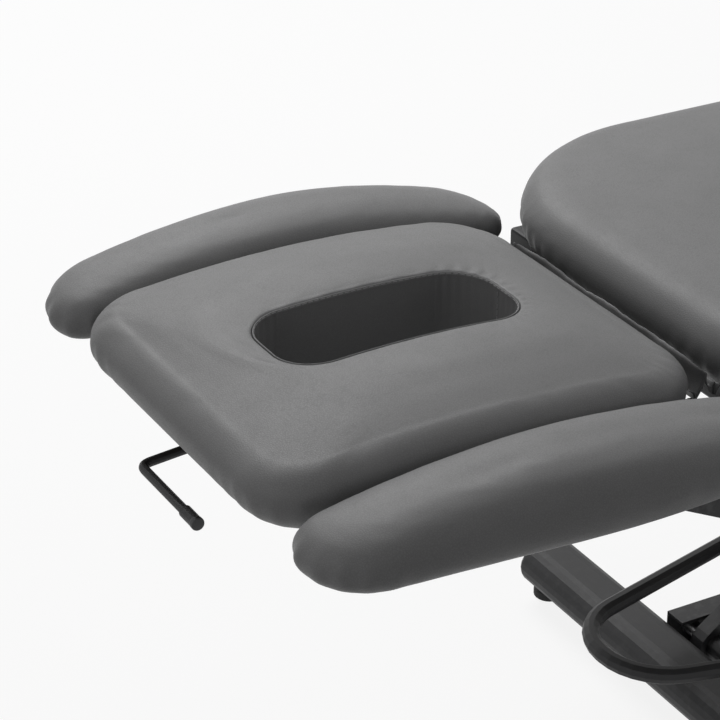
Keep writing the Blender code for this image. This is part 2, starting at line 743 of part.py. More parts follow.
def gaiter(low_x, high_x):
    """A folded strip across the gap, its outer folds against the cushions."""
    start, end = low_x + CLEARANCE, high_x - CLEARANCE
    pitch = (end - start) / (2 * GAITER_FOLDS)
    crest = CUSHION_BOTTOM + CUSHION_THICK * MAIN_BULGE + GAITER_SHEET_DROP / 2
    upper = [(start + pitch * i, crest - (GAITER_HEIGHT if i % 2 else 0.0))
             for i in range(2 * GAITER_FOLDS + 1)]
    lower = [(x, z - GAITER_SHEET_DROP) for x, z in upper]
    return prism(upper + lower[::-1], "XZ", -GAITER_HALF_WIDTH, GAITER_HALF_WIDTH)


def head_pocket():
    """The board's pocket, leaving the wall round the face slot."""
    room = pocket(head_outline(BOARD_INSET - COVER_CLEARANCE))
    around = slot_outline(SLOT_BOARD_MARGIN - COVER_CLEARANCE)
    boolean(room, prism(around, "XY", BOARD_BOTTOM - 0.02, BOARD_TOP + 0.02), "DIFFERENCE")
    return room


def build_pads(make):
    body_form = PadForm(draw_in=MAIN_DRAW_IN, bulge=MAIN_BULGE)
    make.piece("main_board", "top_frame", "wood",
               [prism(main_outline(BOARD_INSET), "XY", BOARD_BOTTOM, BOARD_TOP)])
    make.piece("main_cushion", "top_frame", "leather", [cushion(main_outline(), 56, body_form)],
               [pocket(main_outline(BOARD_INSET - COVER_CLEARANCE))], smooth=60)
    make.piece("leg_board", "leg_section", "wood",
               [prism(leg_outline(BOARD_INSET), "XY", BOARD_BOTTOM, BOARD_TOP)])
    make.piece("leg_cushion", "leg_section", "leather", [cushion(leg_outline(), 48, body_form)],
               [pocket(leg_outline(BOARD_INSET - COVER_CLEARANCE))], smooth=60)
    make.piece("head_board", "head_section", "wood",
               [prism(head_outline(BOARD_INSET), "XY", BOARD_BOTTOM, BOARD_TOP)],
               [prism(slot_outline(SLOT_BOARD_MARGIN), "XY", BOARD_BOTTOM - 0.01, BOARD_TOP + 0.01)])
    make.piece("head_cushion", "head_section", "leather",
               [cushion(head_outline(), 56, PadForm(rise=HEAD_RISE, end_drop=HEAD_END_DROP, peak=HEAD_PEAK),
                        slot_outline())],
               [head_pocket()], smooth=60)
    arm_form = PadForm(ARMREST_EDGE, ARMREST_DRAW_IN, ARMREST_BULGE, ARMREST_SHOULDER_DROP,
                       end_drop=ARMREST_END_DROP, peak=ARMREST_PEAK)
    for side, sign in SIDES.items():
        make.piece("armrest_board_" + side, "armrest_" + side, "wood",
                   [prism(armrest_outline(sign, ARMREST_BOARD_INSET), "XY", BOARD_BOTTOM, BOARD_TOP)])
        make.piece("armrest_cushion_" + side, "armrest_" + side, "leather",
                   [cushion(armrest_outline(sign), 40, arm_form)],
                   [pocket(armrest_outline(sign, ARMREST_BOARD_INSET - COVER_CLEARANCE))], smooth=60)
    make.piece("head_gaiter", "top_frame", "gaiter", [gaiter(HEAD_INNER, MAIN_START)])
    make.piece("leg_gaiter", "top_frame", "gaiter", [gaiter(MAIN_END, LEG_INNER)])


# Base

def foot_outline(x):
    """The flat oval of a cross foot, in XZ."""
    radius = FOOT_PROFILE_HEIGHT / 2
    reach = FOOT_PROFILE_WIDTH / 2 - radius
    return (arc((x + reach, FOOT_CENTRE_Z), radius, -math.pi / 2, math.pi / 2, 10)
            + arc((x - reach, FOOT_CENTRE_Z), radius, math.pi / 2, 3 * math.pi / 2, 10))


def cross_foot(x):
    obj = prism(foot_outline(x), "XZ", -FOOT_HALF_LENGTH, FOOT_HALF_LENGTH)
    bm = bmesh.new()
    bm.from_mesh(obj.data)
    ends = [edge for edge in bm.edges if abs(edge.verts[0].co.y - edge.verts[1].co.y) < 1e-6]
    bmesh.ops.bevel(bm, geom=ends, offset=FOOT_END_BEVEL, segments=2, affect="EDGES", profile=0.5)
    bm.to_mesh(obj.data)
    bm.free()
    return obj


def levelling_foot(x, y):
    """A turned rubber foot on its threaded stem."""
    top = LEVELLER_HEIGHT - CLEARANCE
    profile = [(0.0, 0.0), (LEVELLER_RADIUS - 0.002, 0.0), (LEVELLER_RADIUS, 0.002),
               (LEVELLER_RADIUS, LEVELLER_THICK * 0.6), (LEVELLER_RADIUS * 0.7, LEVELLER_THICK),
               (LEVELLER_STEM, LEVELLER_THICK), (LEVELLER_STEM, top), (0.0, top)]
    bm = bmesh.new()
    verts = [bm.verts.new((radius, 0, z)) for radius, z in profile]
    edges = [bm.edges.new(pair) for pair in zip(verts, verts[1:])]
    bmesh.ops.spin(bm, geom=verts + edges, cent=(0, 0, 0), axis=(0, 0, 1), angle=2 * math.pi, steps=24,
                   use_duplicate=False)
    bmesh.ops.remove_doubles(bm, verts=bm.verts, dist=1e-5)
    bmesh.ops.translate(bm, vec=(x, y, 0), verts=bm.verts)
    return shape(bm)


def channel(sign, low_x, high_x, z):
    """A C channel along X, open towards the middle of the table."""
    inner, outer = CHANNEL_INNER_Y * sign, CHANNEL_OUTER_Y * sign
    web = (CHANNEL_OUTER_Y - CHANNEL_WALL) * sign
    top, bottom = z + CHANNEL_HEIGHT / 2, z - CHANNEL_HEIGHT / 2
    outline = [(inner, bottom), (outer, bottom), (outer, top), (inner, top),
               (inner, top - CHANNEL_WALL), (web, top - CHANNEL_WALL),
               (web, bottom + CHANNEL_WALL), (inner, bottom + CHANNEL_WALL)]
    return prism(outline, "YZ", low_x, high_x)


def shaft_hole(place, radius, reach=0.5):
    return pin_y(place, radius + CLEARANCE, -reach, reach, 28)


def bar_loop():
    """The foot bar's centre line: a long hexagon with round corners, level all round."""
    corners = []
    for way in (1, -1):
        middle = (BAR_CENTRE_X + way * BAR_MID_HALF_LENGTH, way * BAR_HALF_WIDTH, BAR_MID_RADIUS)
        end = (BAR_CENTRE_X + way * BAR_FRONT_REACH, way * BAR_END_HALF_WIDTH, BAR_END_RADIUS)
        corners += [(middle[0], -middle[1], middle[2]), (end[0], -end[1], end[2]), end, middle]
    return [(x, y, BAR_HEIGHT) for x, y in rounded_polygon(corners, 7)]


def build_base(make):
    for place, x in (("front", FRONT_FOOT_X), ("rear", REAR_FOOT_X)):
        make.piece(place + "_cross_foot", "base", "frame", [cross_foot(x)])
        for side, sign in SIDES.items():
            make.piece(f"levelling_foot_{place}_{side}", "base", "rubber",
                       [levelling_foot(x, sign * (FOOT_HALF_LENGTH - LEVELLER_INSET))])
    rail_low = FRONT_FOOT_X + FOOT_PROFILE_WIDTH / 2 + CLEARANCE
    for side, sign in SIDES.items():
        make.piece("base_rail_" + side, "base", "frame",
                   [channel(sign, rail_low, CHANNEL_END, LIFT_PIVOT_Z)],
                   [shaft_hole(LIFT_PIVOT, SHAFT_RADIUS)])
    make.piece("base_pivot_shaft", "base", "steel",
               [pin_y(LIFT_PIVOT, SHAFT_RADIUS, -CHANNEL_OUTER_Y - 0.002, CHANNEL_OUTER_Y + 0.002)])
    build_support(make)
    build_foot_bar(make)


def build_support(make):
    """The flat cross strap that carries the foot bar's posts and the actuator's foot."""
    lug_reach = ACTUATOR_EYE_RADIUS + SUPPORT_MARGIN
    low_x = min(BAR_CENTRE_X - SUPPORT_WIDTH / 2, ACTUATOR_FOOT[0] - lug_reach)
    high_x = max(BAR_CENTRE_X + SUPPORT_WIDTH / 2, ACTUATOR_FOOT[0] + lug_reach)
    low_z = SUPPORT_TOP - SUPPORT_THICK
    reach = POST_Y + POST_THICK
    adds = [box((low_x, -reach, low_z), (high_x, reach, SUPPORT_TOP))]
    for sign in SIDES.values():
        half = SUPPORT_WIDTH / 2 - SUPPORT_MARGIN
        post = [(BAR_CENTRE_X - half, low_z + 0.001), (BAR_CENTRE_X + half, low_z + 0.001)]
        post += arc(BAR_PIVOT, POST_HALF_WIDTH, 0, math.pi, 8)
        adds.append(prism(post, "XZ", *sorted((sign * POST_Y, sign * reach))))
        ends = (sign * (POST_Y + 0.001), sign * (BAR_HALF_WIDTH + 0.008))
        adds.append(pin_y(BAR_PIVOT, BAR_PIN_RADIUS, *ends, 16))
        lug = [(ACTUATOR_FOOT[0] - ACTUATOR_EYE_RADIUS, SUPPORT_TOP - 0.001),
               (ACTUATOR_FOOT[0] + ACTUATOR_EYE_RADIUS, SUPPORT_TOP - 0.001)]
        lug += arc(ACTUATOR_FOOT, ACTUATOR_EYE_RADIUS, 0, math.pi, 8)
        faces = (sign * CRANK_PLATE_Y, sign * (CRANK_PLATE_Y + CRANK_PLATE_THICK))
        adds.append(prism(lug, "XZ", *sorted(faces)))
    adds.append(pin_y(ACTUATOR_FOOT, ACTUATOR_PIN_RADIUS, -CRANK_PLATE_Y - 0.001, CRANK_PLATE_Y + 0.001))
    make.piece("foot_bar_support", "base", "frame", adds)


def build_foot_bar(make):
    adds = [rod(bar_loop(), BAR_RADIUS, cyclic=True)]
    cuts = []
    hub_low = POST_Y + POST_THICK + 0.0025
    hub_high = BAR_HALF_WIDTH + BAR_RADIUS + 0.001
    for sign in SIDES.values():
        adds.append(pin_y(BAR_PIVOT, BAR_HUB_RADIUS, sign * hub_low, sign * hub_high))
        cuts.append(pin_y(BAR_PIVOT, BAR_PIN_RADIUS + CLEARANCE, sign * (hub_low - 0.001),
                          sign * (BAR_HALF_WIDTH + 0.008 + CLEARANCE), 16))
    make.piece("foot_bar_loop", "foot_bar", "frame", adds, cuts)


# Scissor lift

def arm_bars(start, end, inner_y):
    """The two side bars of a scissor arm."""
    outline = capsule(start, end, ARM_HALF_HEIGHT)
    return [prism(outline, "XZ", *sorted((sign * inner_y, sign * (inner_y + ARM_THICK))))
            for sign in SIDES.values()]


def build_arms(make):
    cross_reach = OUTER_ARM_Y + 0.002
    adds = arm_bars(LIFT_PIVOT, UPPER_GLIDE, OUTER_ARM_Y)
    adds = [adds[0], pin_y(LIFT_PIVOT, SLEEVE_RADIUS, -cross_reach, cross_reach),
            pin_y(CRANK_TUBE, CROSS_TUBE_RADIUS, -cross_reach, cross_reach), adds[1]]
    for sign in SIDES.values():
        plate = capsule(CRANK_TUBE, ACTUATOR_PIN, ACTUATOR_EYE_RADIUS)
        faces = (sign * CRANK_PLATE_Y, sign * (CRANK_PLATE_Y + CRANK_PLATE_THICK))
        adds.append(prism(plate, "XZ", *sorted(faces)))
    adds.append(pin_y(ACTUATOR_PIN, ACTUATOR_PIN_RADIUS, -CRANK_PLATE_Y - 0.001, CRANK_PLATE_Y + 0.001))
    holes = [shaft_hole(place, SHAFT_RADIUS) for place in (LIFT_PIVOT, LIFT_CENTRE, UPPER_GLIDE)]
    make.piece("outer_lift_arm", "outer_arms", "frame", adds, holes)

    cross_reach = INNER_ARM_Y + 0.002
    brace = polar(LOWER_GLIDE, INNER_TUBE_FROM_END, math.pi - ARM_ANGLE)
    bars = arm_bars(LOWER_GLIDE, TOP_PIVOT, INNER_ARM_Y)
    adds = [bars[0], pin_y(TOP_PIVOT, SLEEVE_RADIUS, -cross_reach, cross_reach),
            pin_y(brace, CROSS_TUBE_RADIUS, -cross_reach, cross_reach), bars[1]]
    holes = [shaft_hole(place, SHAFT_RADIUS) for place in (LOWER_GLIDE, LIFT_CENTRE, TOP_PIVOT)]
    make.piece("inner_lift_arm", "inner_arms", "frame", adds, holes)

    outer_face = OUTER_ARM_Y + ARM_THICK
    make.piece("centre_pivot_shaft", "outer_arms", "steel",
               [pin_y(LIFT_CENTRE, SHAFT_RADIUS, -outer_face - 0.004, outer_face + 0.004)])
    glide_outer = CHANNEL_OUTER_Y - CHANNEL_WALL - CLEARANCE
    for name, body, place in (("upper", "outer_arms", UPPER_GLIDE), ("lower", "inner_arms", LOWER_GLIDE)):
        make.piece(name + "_glide_shaft", body, "steel",
                   [pin_y(place, SHAFT_RADIUS, -glide_outer + 0.001, glide_outer - 0.001)])
        half = CHANNEL_HEIGHT / 2 - CHANNEL_WALL - CLEARANCE
        for side, sign in SIDES.items():
            block = prism(tube_outline(place, GLIDE_LENGTH, 2 * half, 0.004, 3), "XZ",
                          *sorted((sign * (CHANNEL_INNER_Y + 0.001), sign * glide_outer)))
            make.piece(f"{name}_glide_{side}", name + "_glides", "glide", [block],
                       [shaft_hole(place, SHAFT_RADIUS)])


def telescope_lengths(radius, angle, turn_range):
    """Shortest and longest distance between two pivots that lie radius from a hinge, angle apart at rest."""
    lengths = [2 * radius * math.sin((angle + turn) / 2) for turn in turn_range]
    return min(lengths), max(lengths)


def along(start, end):
    """A function that gives the point (x, z) a distance from start towards end, and one square to it."""
    length = math.dist(start, end)
    ux, uz = (end[0] - start[0]) / length, (end[1] - start[1]) / length

    def at(distance, offset=0.0):
        return (start[0] + ux * distance - uz * offset, start[1] + uz * distance + ux * offset)

    return at


def build_actuator(make):
    shortest, _ = telescope_lengths(ACTUATOR_RADIUS, 2 * ACTUATOR_SPREAD, LIFT_RANGE)
    at = along(ACTUATOR_FOOT, ACTUATOR_PIN)
    width = CRANK_PLATE_Y - 0.002
    mouth = shortest - ACTUATOR_ROD_END
    offset = ACTUATOR_BODY_RADIUS + MOTOR_RADIUS + 0.002

    def point(distance, side=0.0):
        x, z = at(distance, side)
        return (x, 0, z)

    body_start = ACTUATOR_EYE_RADIUS + 0.006
    gearbox_from = body_start + ACTUATOR_BODY_RADIUS
    gearbox = capsule(at(gearbox_from), at(gearbox_from, offset), ACTUATOR_BODY_RADIUS)
    eye = capsule(ACTUATOR_FOOT, at(body_start + ACTUATOR_BODY_RADIUS), ACTUATOR_EYE_RADIUS - 0.002)
    adds = [prism(gearbox, "XZ", -ACTUATOR_BODY_RADIUS, ACTUATOR_BODY_RADIUS),
            prism(eye, "XZ", -width, width),
            cylinder(point(body_start + ACTUATOR_BODY_RADIUS), point(mouth), ACTUATOR_BODY_RADIUS * 0.86)]
    rod_start = body_start + GEARBOX_LENGTH
    cuts = [shaft_hole(ACTUATOR_FOOT, ACTUATOR_PIN_RADIUS),
            cylinder(point(rod_start), point(mouth + 0.01), ACTUATOR_ROD_RADIUS + 2 * CLEARANCE)]
    make.piece("actuator_housing", "actuator_body", "plastic", adds, cuts)
    motor_start = body_start + 2 * ACTUATOR_BODY_RADIUS + CLEARANCE
    make.piece("actuator_motor", "actuator_body", "plastic",
               [cylinder(point(motor_start, offset), point(motor_start + MOTOR_LENGTH * 0.9, offset),
                         MOTOR_RADIUS),
                cylinder(point(motor_start + MOTOR_LENGTH * 0.8, offset),
                         point(motor_start + MOTOR_LENGTH, offset), MOTOR_RADIUS * 0.8)])
    rest = math.dist(ACTUATOR_FOOT, ACTUATOR_PIN)
    inner_end = rod_start + 0.004 + rest - shortest
    make.piece("actuator_rod", "actuator_piston", "steel",
               [cylinder(point(inner_end), point(rest - ACTUATOR_EYE_RADIUS * 0.5), ACTUATOR_ROD_RADIUS),
                prism(capsule(at(rest - 0.012), ACTUATOR_PIN, ACTUATOR_EYE_RADIUS - 0.002), "XZ",
                      -width * 0.8, width * 0.8)],
               [shaft_hole(ACTUATOR_PIN, ACTUATOR_PIN_RADIUS)])


# Top frame

def hinge_plates(member_x, hinge):
    middle = (member_x, (MEMBER_BOTTOM + MEMBER_TOP) / 2)
    plates = []
    for sign in SIDES.values():
        ys = sorted((sign * HINGE_PLATE_Y, sign * (HINGE_PLATE_Y + HINGE_PLATE_THICK)))
        plates.append(prism(capsule(middle, hinge, HINGE_LUG_RADIUS), "XZ", *ys))
    return plates


def spring_anchor_plate(section, member_x):
    """The plate that hangs from a cross member, with the stub that the gas spring's cylinder turns on."""
    anchor, _ = spring_pivots(section)
    plate_y = (SPRING_PLATE_Y, SPRING_PLATE_Y + SPRING_PLATE_THICK)
    plate = capsule((member_x, MEMBER_BOTTOM + 0.015), anchor, HINGE_LUG_RADIUS * 0.8)
    stub = pin_y(anchor, SPRING_PIN_RADIUS, SPRING_PIN_START, SPRING_PLATE_Y + 0.001, 16)
    return [prism(plate, "XZ", *plate_y), stub]


def armrest_lugs():
    """The plates that hang from the front cross member and carry both armrest linkages."""
    adds = []
    for sign in SIDES.values():
        outline = capsule((FRONT_MEMBER_X, MEMBER_BOTTOM + 0.015), STAY_PIVOT, HINGE_LUG_RADIUS)
        other = capsule((FRONT_MEMBER_X, MEMBER_BOTTOM + 0.015), LINK_PIVOT, HINGE_LUG_RADIUS)
        ys = sorted((sign * LUG_PLATE_Y, sign * (LUG_PLATE_Y + LUG_PLATE_THICK)))
        adds += [prism(outline, "XZ", *ys), prism(other, "XZ", *ys)]
        for place in (LINK_PIVOT, STAY_PIVOT):
            ends = (sign * (LUG_PLATE_Y + 0.001), sign * (LINK_Y + LINK_THICK + 0.001))
            adds.append(pin_y(place, LINK_PIN_RADIUS, *ends, 16))
    return adds


def build_top_frame(make):
    half = CROSS_MEMBER / 2
    rail_low = FRONT_MEMBER_X - half - TOP_RAIL_OVERHANG
    for side, sign in SIDES.items():
        make.piece("top_rail_" + side, "top_frame", "frame",
                   [channel(sign, rail_low, CHANNEL_END, TOP_RAIL_Z)],
                   [shaft_hole(TOP_PIVOT, SHAFT_RADIUS)])
    make.piece("top_pivot_shaft", "top_frame", "steel",
               [pin_y(TOP_PIVOT, SHAFT_RADIUS, -CHANNEL_OUTER_Y - 0.002, CHANNEL_OUTER_Y + 0.002)])
    for name, section, member_x, hinge in (("front", "head", FRONT_MEMBER_X, HEAD_HINGE),
                                           ("rear", "leg", REAR_MEMBER_X, LEG_HINGE)):
        outline = tube_outline((member_x, (MEMBER_BOTTOM + MEMBER_TOP) / 2), CROSS_MEMBER, CROSS_MEMBER)
        adds = [prism(outline, "XZ", -CROSS_MEMBER_HALF_LENGTH, CROSS_MEMBER_HALF_LENGTH)]
        adds += hinge_plates(member_x, hinge)
        adds += spring_anchor_plate(section, member_x)
        if name == "front":
            adds += armrest_lugs()
        make.piece(name + "_cross_member", "top_frame", "frame", adds,
                   [shaft_hole(hinge, HINGE_SHAFT_RADIUS)])
        outer = HINGE_PLATE_Y + HINGE_PLATE_THICK + 0.004
        make.piece(section + "_hinge_shaft", "top_frame", "steel",
                   [pin_y(hinge, HINGE_SHAFT_RADIUS, -outer, outer)])
    build_control_box(make)


def build_control_box(make):
    length, width, height = CONTROL_BOX_SIZE
    top = BOARD_BOTTOM - CLEARANCE
    outline = tube_outline((CONTROL_BOX_X, CONTROL_BOX_Y), length, width, 0.010, 4)
    make.piece("control_box", "top_frame", "plastic", [prism(outline, "XY", top - height, top)])
    face = CONTROL_BOX_X + length / 2 + CLEARANCE
    depth, inlet_width, inlet_height = INLET_SIZE
    middle = (CONTROL_BOX_Y, top - height / 2)
    body = prism(tube_outline(middle, inlet_width, inlet_height, 0.004, 3), "YZ", face, face + depth)
    mouth = tube_outline(middle, inlet_width * 0.62, inlet_height * 0.62, 0.003, 3)
    hollow = prism(mouth, "YZ", face + 0.003, face + depth + 0.01)
    make.piece("mains_inlet", "top_frame", "plastic", [body], [hollow])


# Tilting sections

def section_frame(section):
    """Two rails and two cross tubes round the section, with hinge sleeves, spring lug and lever guides."""
    way, hinge, _, _ = SECTIONS[section]
    middle_z = (SECTION_FRAME_TOP + SECTION_FRAME_BOTTOM) / 2
    inner_x = hinge[0] + way * SECTION_INNER_TUBE
    outer_x = hinge[0] + way * SECTION_OUTER_TUBE
    adds = []
    for sign in SIDES.values():
        rail = tube_outline((sign * SECTION_RAIL_Y, middle_z), SECTION_TUBE, SECTION_TUBE)
        adds.append(prism(rail, "YZ", *sorted((hinge[0], outer_x + way * SECTION_TUBE / 2))))
        ys = (sign * (SECTION_RAIL_Y - SECTION_TUBE), sign * (HINGE_PLATE_Y - 0.003))
        adds.append(pin_y(hinge, SECTION_TUBE / 2 + 0.003, *ys))
    for x in (inner_x, outer_x):
        tube = tube_outline((x, middle_z), SECTION_TUBE - 0.001, SECTION_TUBE - 0.001)
        adds.insert(1, prism(tube, "XZ", -SECTION_RAIL_Y, SECTION_RAIL_Y))
    _, lug = spring_pivots(section)
    strap = (STRAP_Y, STRAP_Y + STRAP_THICK)
    adds.append(box((min(inner_x, outer_x), strap[0], SECTION_FRAME_BOTTOM + 0.002),
                    (max(inner_x, outer_x), strap[1], SECTION_FRAME_TOP - 0.002)))
    plate = capsule((lug[0], middle_z), lug, HINGE_LUG_RADIUS * 0.65)
    adds.append(prism(plate, "XZ", SPRING_PLATE_Y, SPRING_PLATE_Y + SPRING_PLATE_THICK))
    adds.append(pin_y(lug, SPRING_PIN_RADIUS, SPRING_PIN_START, SPRING_PLATE_Y + 0.001, 16))
    for place in GUIDE_PLACES:
        x = hinge[0] + way * place
        adds.append(box((x - GUIDE_HALF_LENGTH, LEVER_Y - 0.010, LEVER_Z - 0.010),
                        (x + GUIDE_HALF_LENGTH, strap[1] - 0.001, SECTION_FRAME_BOTTOM + 0.010)))
    bore = cylinder((hinge[0] + way * LEVER_START, LEVER_Y, LEVER_Z),
                    (outer_x + way * 0.1, LEVER_Y, LEVER_Z), LEVER_RADIUS + CLEARANCE, 16)
    return adds, [shaft_hole(hinge, HINGE_SHAFT_RADIUS), bore]


def lever_line(section):
    """The release lever's centre line: along the frame, down a little, then across under the end."""
    way, hinge, _, _ = SECTIONS[section]
    start = Vector((hinge[0] + way * LEVER_START, LEVER_Y, LEVER_Z))
    kink = Vector((hinge[0] + way * LEVER_KINK, LEVER_Y, LEVER_Z))
    corner = Vector((hinge[0] + way * LEVER_REACH, LEVER_Y, LEVER_Z - LEVER_DROP))
    end = Vector((corner.x, LEVER_Y - LEVER_GRIP, corner.z))
    into = (corner - kink).normalized()
    out = (end - corner).normalized()
    points = [start, kink - Vector((way * 0.01, 0, 0)), kink + into * 0.01]
    first, last = corner - into * LEVER_BEND, corner + out * LEVER_BEND
    for i in range(9):
        share = i / 8
        points.append(first * (1 - share) ** 2 + corner * 2 * share * (1 - share) + last * share ** 2)
    points.append(end)
    return points


def build_section(make, section):
    body = section + "_section"
    adds, cuts = section_frame(section)
    make.piece(section + "_frame", body, "frame", adds, cuts)
    line = lever_line(section)
    end = line[-1]
    cap = cylinder(end + Vector((0, LEVER_CAP_LENGTH, 0)), end - Vector((0, 0.002, 0)), LEVER_CAP_RADIUS, 16)
    make.piece(section + "_release_lever", section + "_lever", "frame", [rod(line, LEVER_RADIUS), cap])
    build_spring(make, section)


def build_spring(make, section):
    """A gas spring: the cylinder turns on the top frame, the rod on the section's own frame."""
    anchor, lug = spring_pivots(section)
    _, _, anchor_angle, turn_range = SECTIONS[section]
    spread = math.pi - anchor_angle - SPRING_LUG_ANGLE
    shortest, _ = telescope_lengths(SPRING_RADIUS, spread, turn_range)
    at = along(anchor, lug)
    rest = math.dist(anchor, lug)
    mouth = shortest - SPRING_ROD_END
    half = SPRING_EYE_WIDTH / 2

    def point(distance):
        x, z = at(distance)
        return (x, SPRING_Y, z)

    make.piece(section + "_spring_tube", section + "_spring_cylinder", "plastic",
               [cylinder(point(SPRING_EYE_RADIUS * 0.8), point(mouth), SPRING_CYLINDER_RADIUS, 20),
                pin_y(anchor, SPRING_EYE_RADIUS, SPRING_Y - half, SPRING_Y + half, 20)],
               [pin_y(anchor, SPRING_PIN_RADIUS + CLEARANCE, SPRING_Y - 0.03, SPRING_Y + 0.03, 16),
                cylinder(point(SPRING_BORE_START), point(mouth + 0.01),
                         SPRING_ROD_RADIUS + 2 * CLEARANCE, 16)])
    inner_end = SPRING_BORE_START + 0.002 + rest - shortest
    make.piece(section + "_spring_piston", section + "_spring_rod", "steel",
               [cylinder(point(inner_end), point(rest - SPRING_EYE_RADIUS * 0.75), SPRING_ROD_RADIUS, 16),
                pin_y(lug, SPRING_EYE_RADIUS, SPRING_Y - half, SPRING_Y + half, 20)],
               [pin_y(lug, SPRING_PIN_RADIUS + CLEARANCE, SPRING_Y - 0.03, SPRING_Y + 0.03, 16)])


# Armrests

def build_armrest(make, side, sign):
    link_ys = sorted((sign * LINK_Y, sign * (LINK_Y + LINK_THICK)))
    through = (sign * (LINK_Y - 0.01), sign * (LINK_Y + LINK_THICK + 0.01))
    for name, start, end in (("link", LINK_PIVOT, LINK_END), ("stay", STAY_PIVOT, STAY_END)):
        make.piece(f"armrest_{name}_bar_{side}", f"armrest_{name}_{side}", "frame",
                   [prism(capsule(start, end, LINK_RADIUS), "XZ", *link_ys)],
                   [pin_y(place, LINK_PIN_RADIUS + CLEARANCE, *through, 16) for place in (start, end)])
    top = BOARD_BOTTOM - CLEARANCE
    plate_ys = sorted((sign * BRACKET_Y, sign * (BRACKET_Y + LUG_PLATE_THICK)))
    high_x = LINK_END[0] - BRACKET_FLANGE_GAP
    low_x = high_x - BRACKET_FLANGE_LENGTH
    hanger = rounded_polygon([
        (low_x + 0.03, top - 0.001, 0.001), (LINK_END[0] - 0.014, LINK_END[1] - 0.030, 0.020),
        (STAY_END[0] - 0.012, STAY_END[1] - 0.018, 0.012), (STAY_END[0] + 0.016, STAY_END[1] - 0.016, 0.012),
        (LINK_END[0] + 0.016, LINK_END[1] + 0.010, 0.012), (high_x, top - 0.001, 0.001)], 4)
    inner = ARMREST_INNER_Y + ARMREST_BOARD_INSET + BRACKET_FLANGE_MARGIN
    outer = ARMREST_INNER_Y + ARMREST_WIDTH - ARMREST_BOW / 2 - ARMREST_BOARD_INSET - BRACKET_FLANGE_MARGIN
    flange_ys = sorted((sign * inner, sign * outer))
    adds = [box((low_x, flange_ys[0], top - LUG_PLATE_THICK), (high_x, flange_ys[1], top)),
            prism(hanger, "XZ", *plate_ys)]
    for place in (LINK_END, STAY_END):
        adds.append(pin_y(place, LINK_PIN_RADIUS, sign * (LINK_Y - 0.001), sign * (BRACKET_Y + 0.001), 16))
    make.piece("armrest_bracket_" + side, "armrest_" + side, "frame", adds)


def build_table():
    make = Builder()
    build_base(make)
    build_arms(make)
    build_actuator(make)
    build_top_frame(make)
    for section in SECTIONS:
        build_section(make, section)
    for side, sign in SIDES.items():
        build_armrest(make, side, sign)
    build_pads(make)


build_table()
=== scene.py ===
"""Dresses the electric massage table: stuffed pads, folded gaiters, coated steel and a plain studio.

Laid out as an add-on. Metres, +Z up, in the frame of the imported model.
"""

import json
import math
from functools import cache
from typing import NamedTuple

import bmesh
import bpy
import numpy as np
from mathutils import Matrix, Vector, noise
from mathutils.kdtree import KDTree

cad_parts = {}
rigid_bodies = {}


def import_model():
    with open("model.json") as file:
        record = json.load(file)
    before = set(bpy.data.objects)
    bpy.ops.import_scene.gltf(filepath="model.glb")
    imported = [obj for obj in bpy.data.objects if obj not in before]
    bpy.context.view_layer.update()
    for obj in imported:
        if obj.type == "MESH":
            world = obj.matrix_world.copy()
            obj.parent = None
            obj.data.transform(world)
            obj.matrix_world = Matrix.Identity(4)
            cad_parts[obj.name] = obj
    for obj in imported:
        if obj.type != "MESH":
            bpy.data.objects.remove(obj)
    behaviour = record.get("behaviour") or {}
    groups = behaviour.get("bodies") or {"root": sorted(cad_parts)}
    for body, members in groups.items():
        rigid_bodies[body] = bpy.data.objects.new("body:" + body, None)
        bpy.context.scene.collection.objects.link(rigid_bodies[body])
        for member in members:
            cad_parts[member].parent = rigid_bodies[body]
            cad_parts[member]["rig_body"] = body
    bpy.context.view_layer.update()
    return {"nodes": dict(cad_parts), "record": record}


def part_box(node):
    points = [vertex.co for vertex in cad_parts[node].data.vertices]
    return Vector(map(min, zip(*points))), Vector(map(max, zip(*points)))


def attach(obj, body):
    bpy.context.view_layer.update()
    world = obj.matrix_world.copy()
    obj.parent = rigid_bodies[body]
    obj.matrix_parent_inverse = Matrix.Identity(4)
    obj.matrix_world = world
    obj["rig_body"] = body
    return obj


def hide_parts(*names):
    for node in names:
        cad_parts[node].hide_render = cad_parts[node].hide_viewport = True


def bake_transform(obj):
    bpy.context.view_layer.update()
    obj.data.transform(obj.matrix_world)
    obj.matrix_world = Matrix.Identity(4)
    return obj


bl_info = {
    "name": "Electric Massage Table",
    "version": (1, 0, 0),
    "blender": (4, 5, 0),
    "location": "3D View > Sidebar > Massage Table",
    "description": "Upholstery, metalwork and studio for an electric massage table",
    "category": "Object",
}

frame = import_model()
NODES = frame["nodes"]

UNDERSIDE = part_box("main_board")[0].z
PAD_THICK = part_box("main_cushion")[1].z - UNDERSIDE
SIDES = {"left": 1, "right": -1}

# Face slot: its length, width and corner, the way from the pad's inner end, and how far its rim dips
SLOT = {"length": 0.262, "width": 0.120, "corner": 0.044, "from_end": 0.104, "dip": 0.0032}

# The cover near the slot: (way out from the rim, share of the dip), then the dip where the wall starts
SLOT_COLLAR = 0.010
SLOT_ROUNDING = ((0.0075, 0.70), (0.0052, 0.79), (0.0034, 0.90), (0.0020, 1.04), (0.0010, 1.25),
                 (0.0003, 1.60), (0.0, 2.30))
SLOT_WALL_TOP = 3.2
SLOT_SEAM = 1.25
SLOT_TO_BOARD = 0.006

# The bottom seam's angle under the bulge, the cloth's mesh, and what counts as the stapled underside
SEAM_ANGLE = math.radians(70)
CLOTH_SQUARE = 0.0062
CLOTH_FRAMES = 20
STAPLED = 0.004


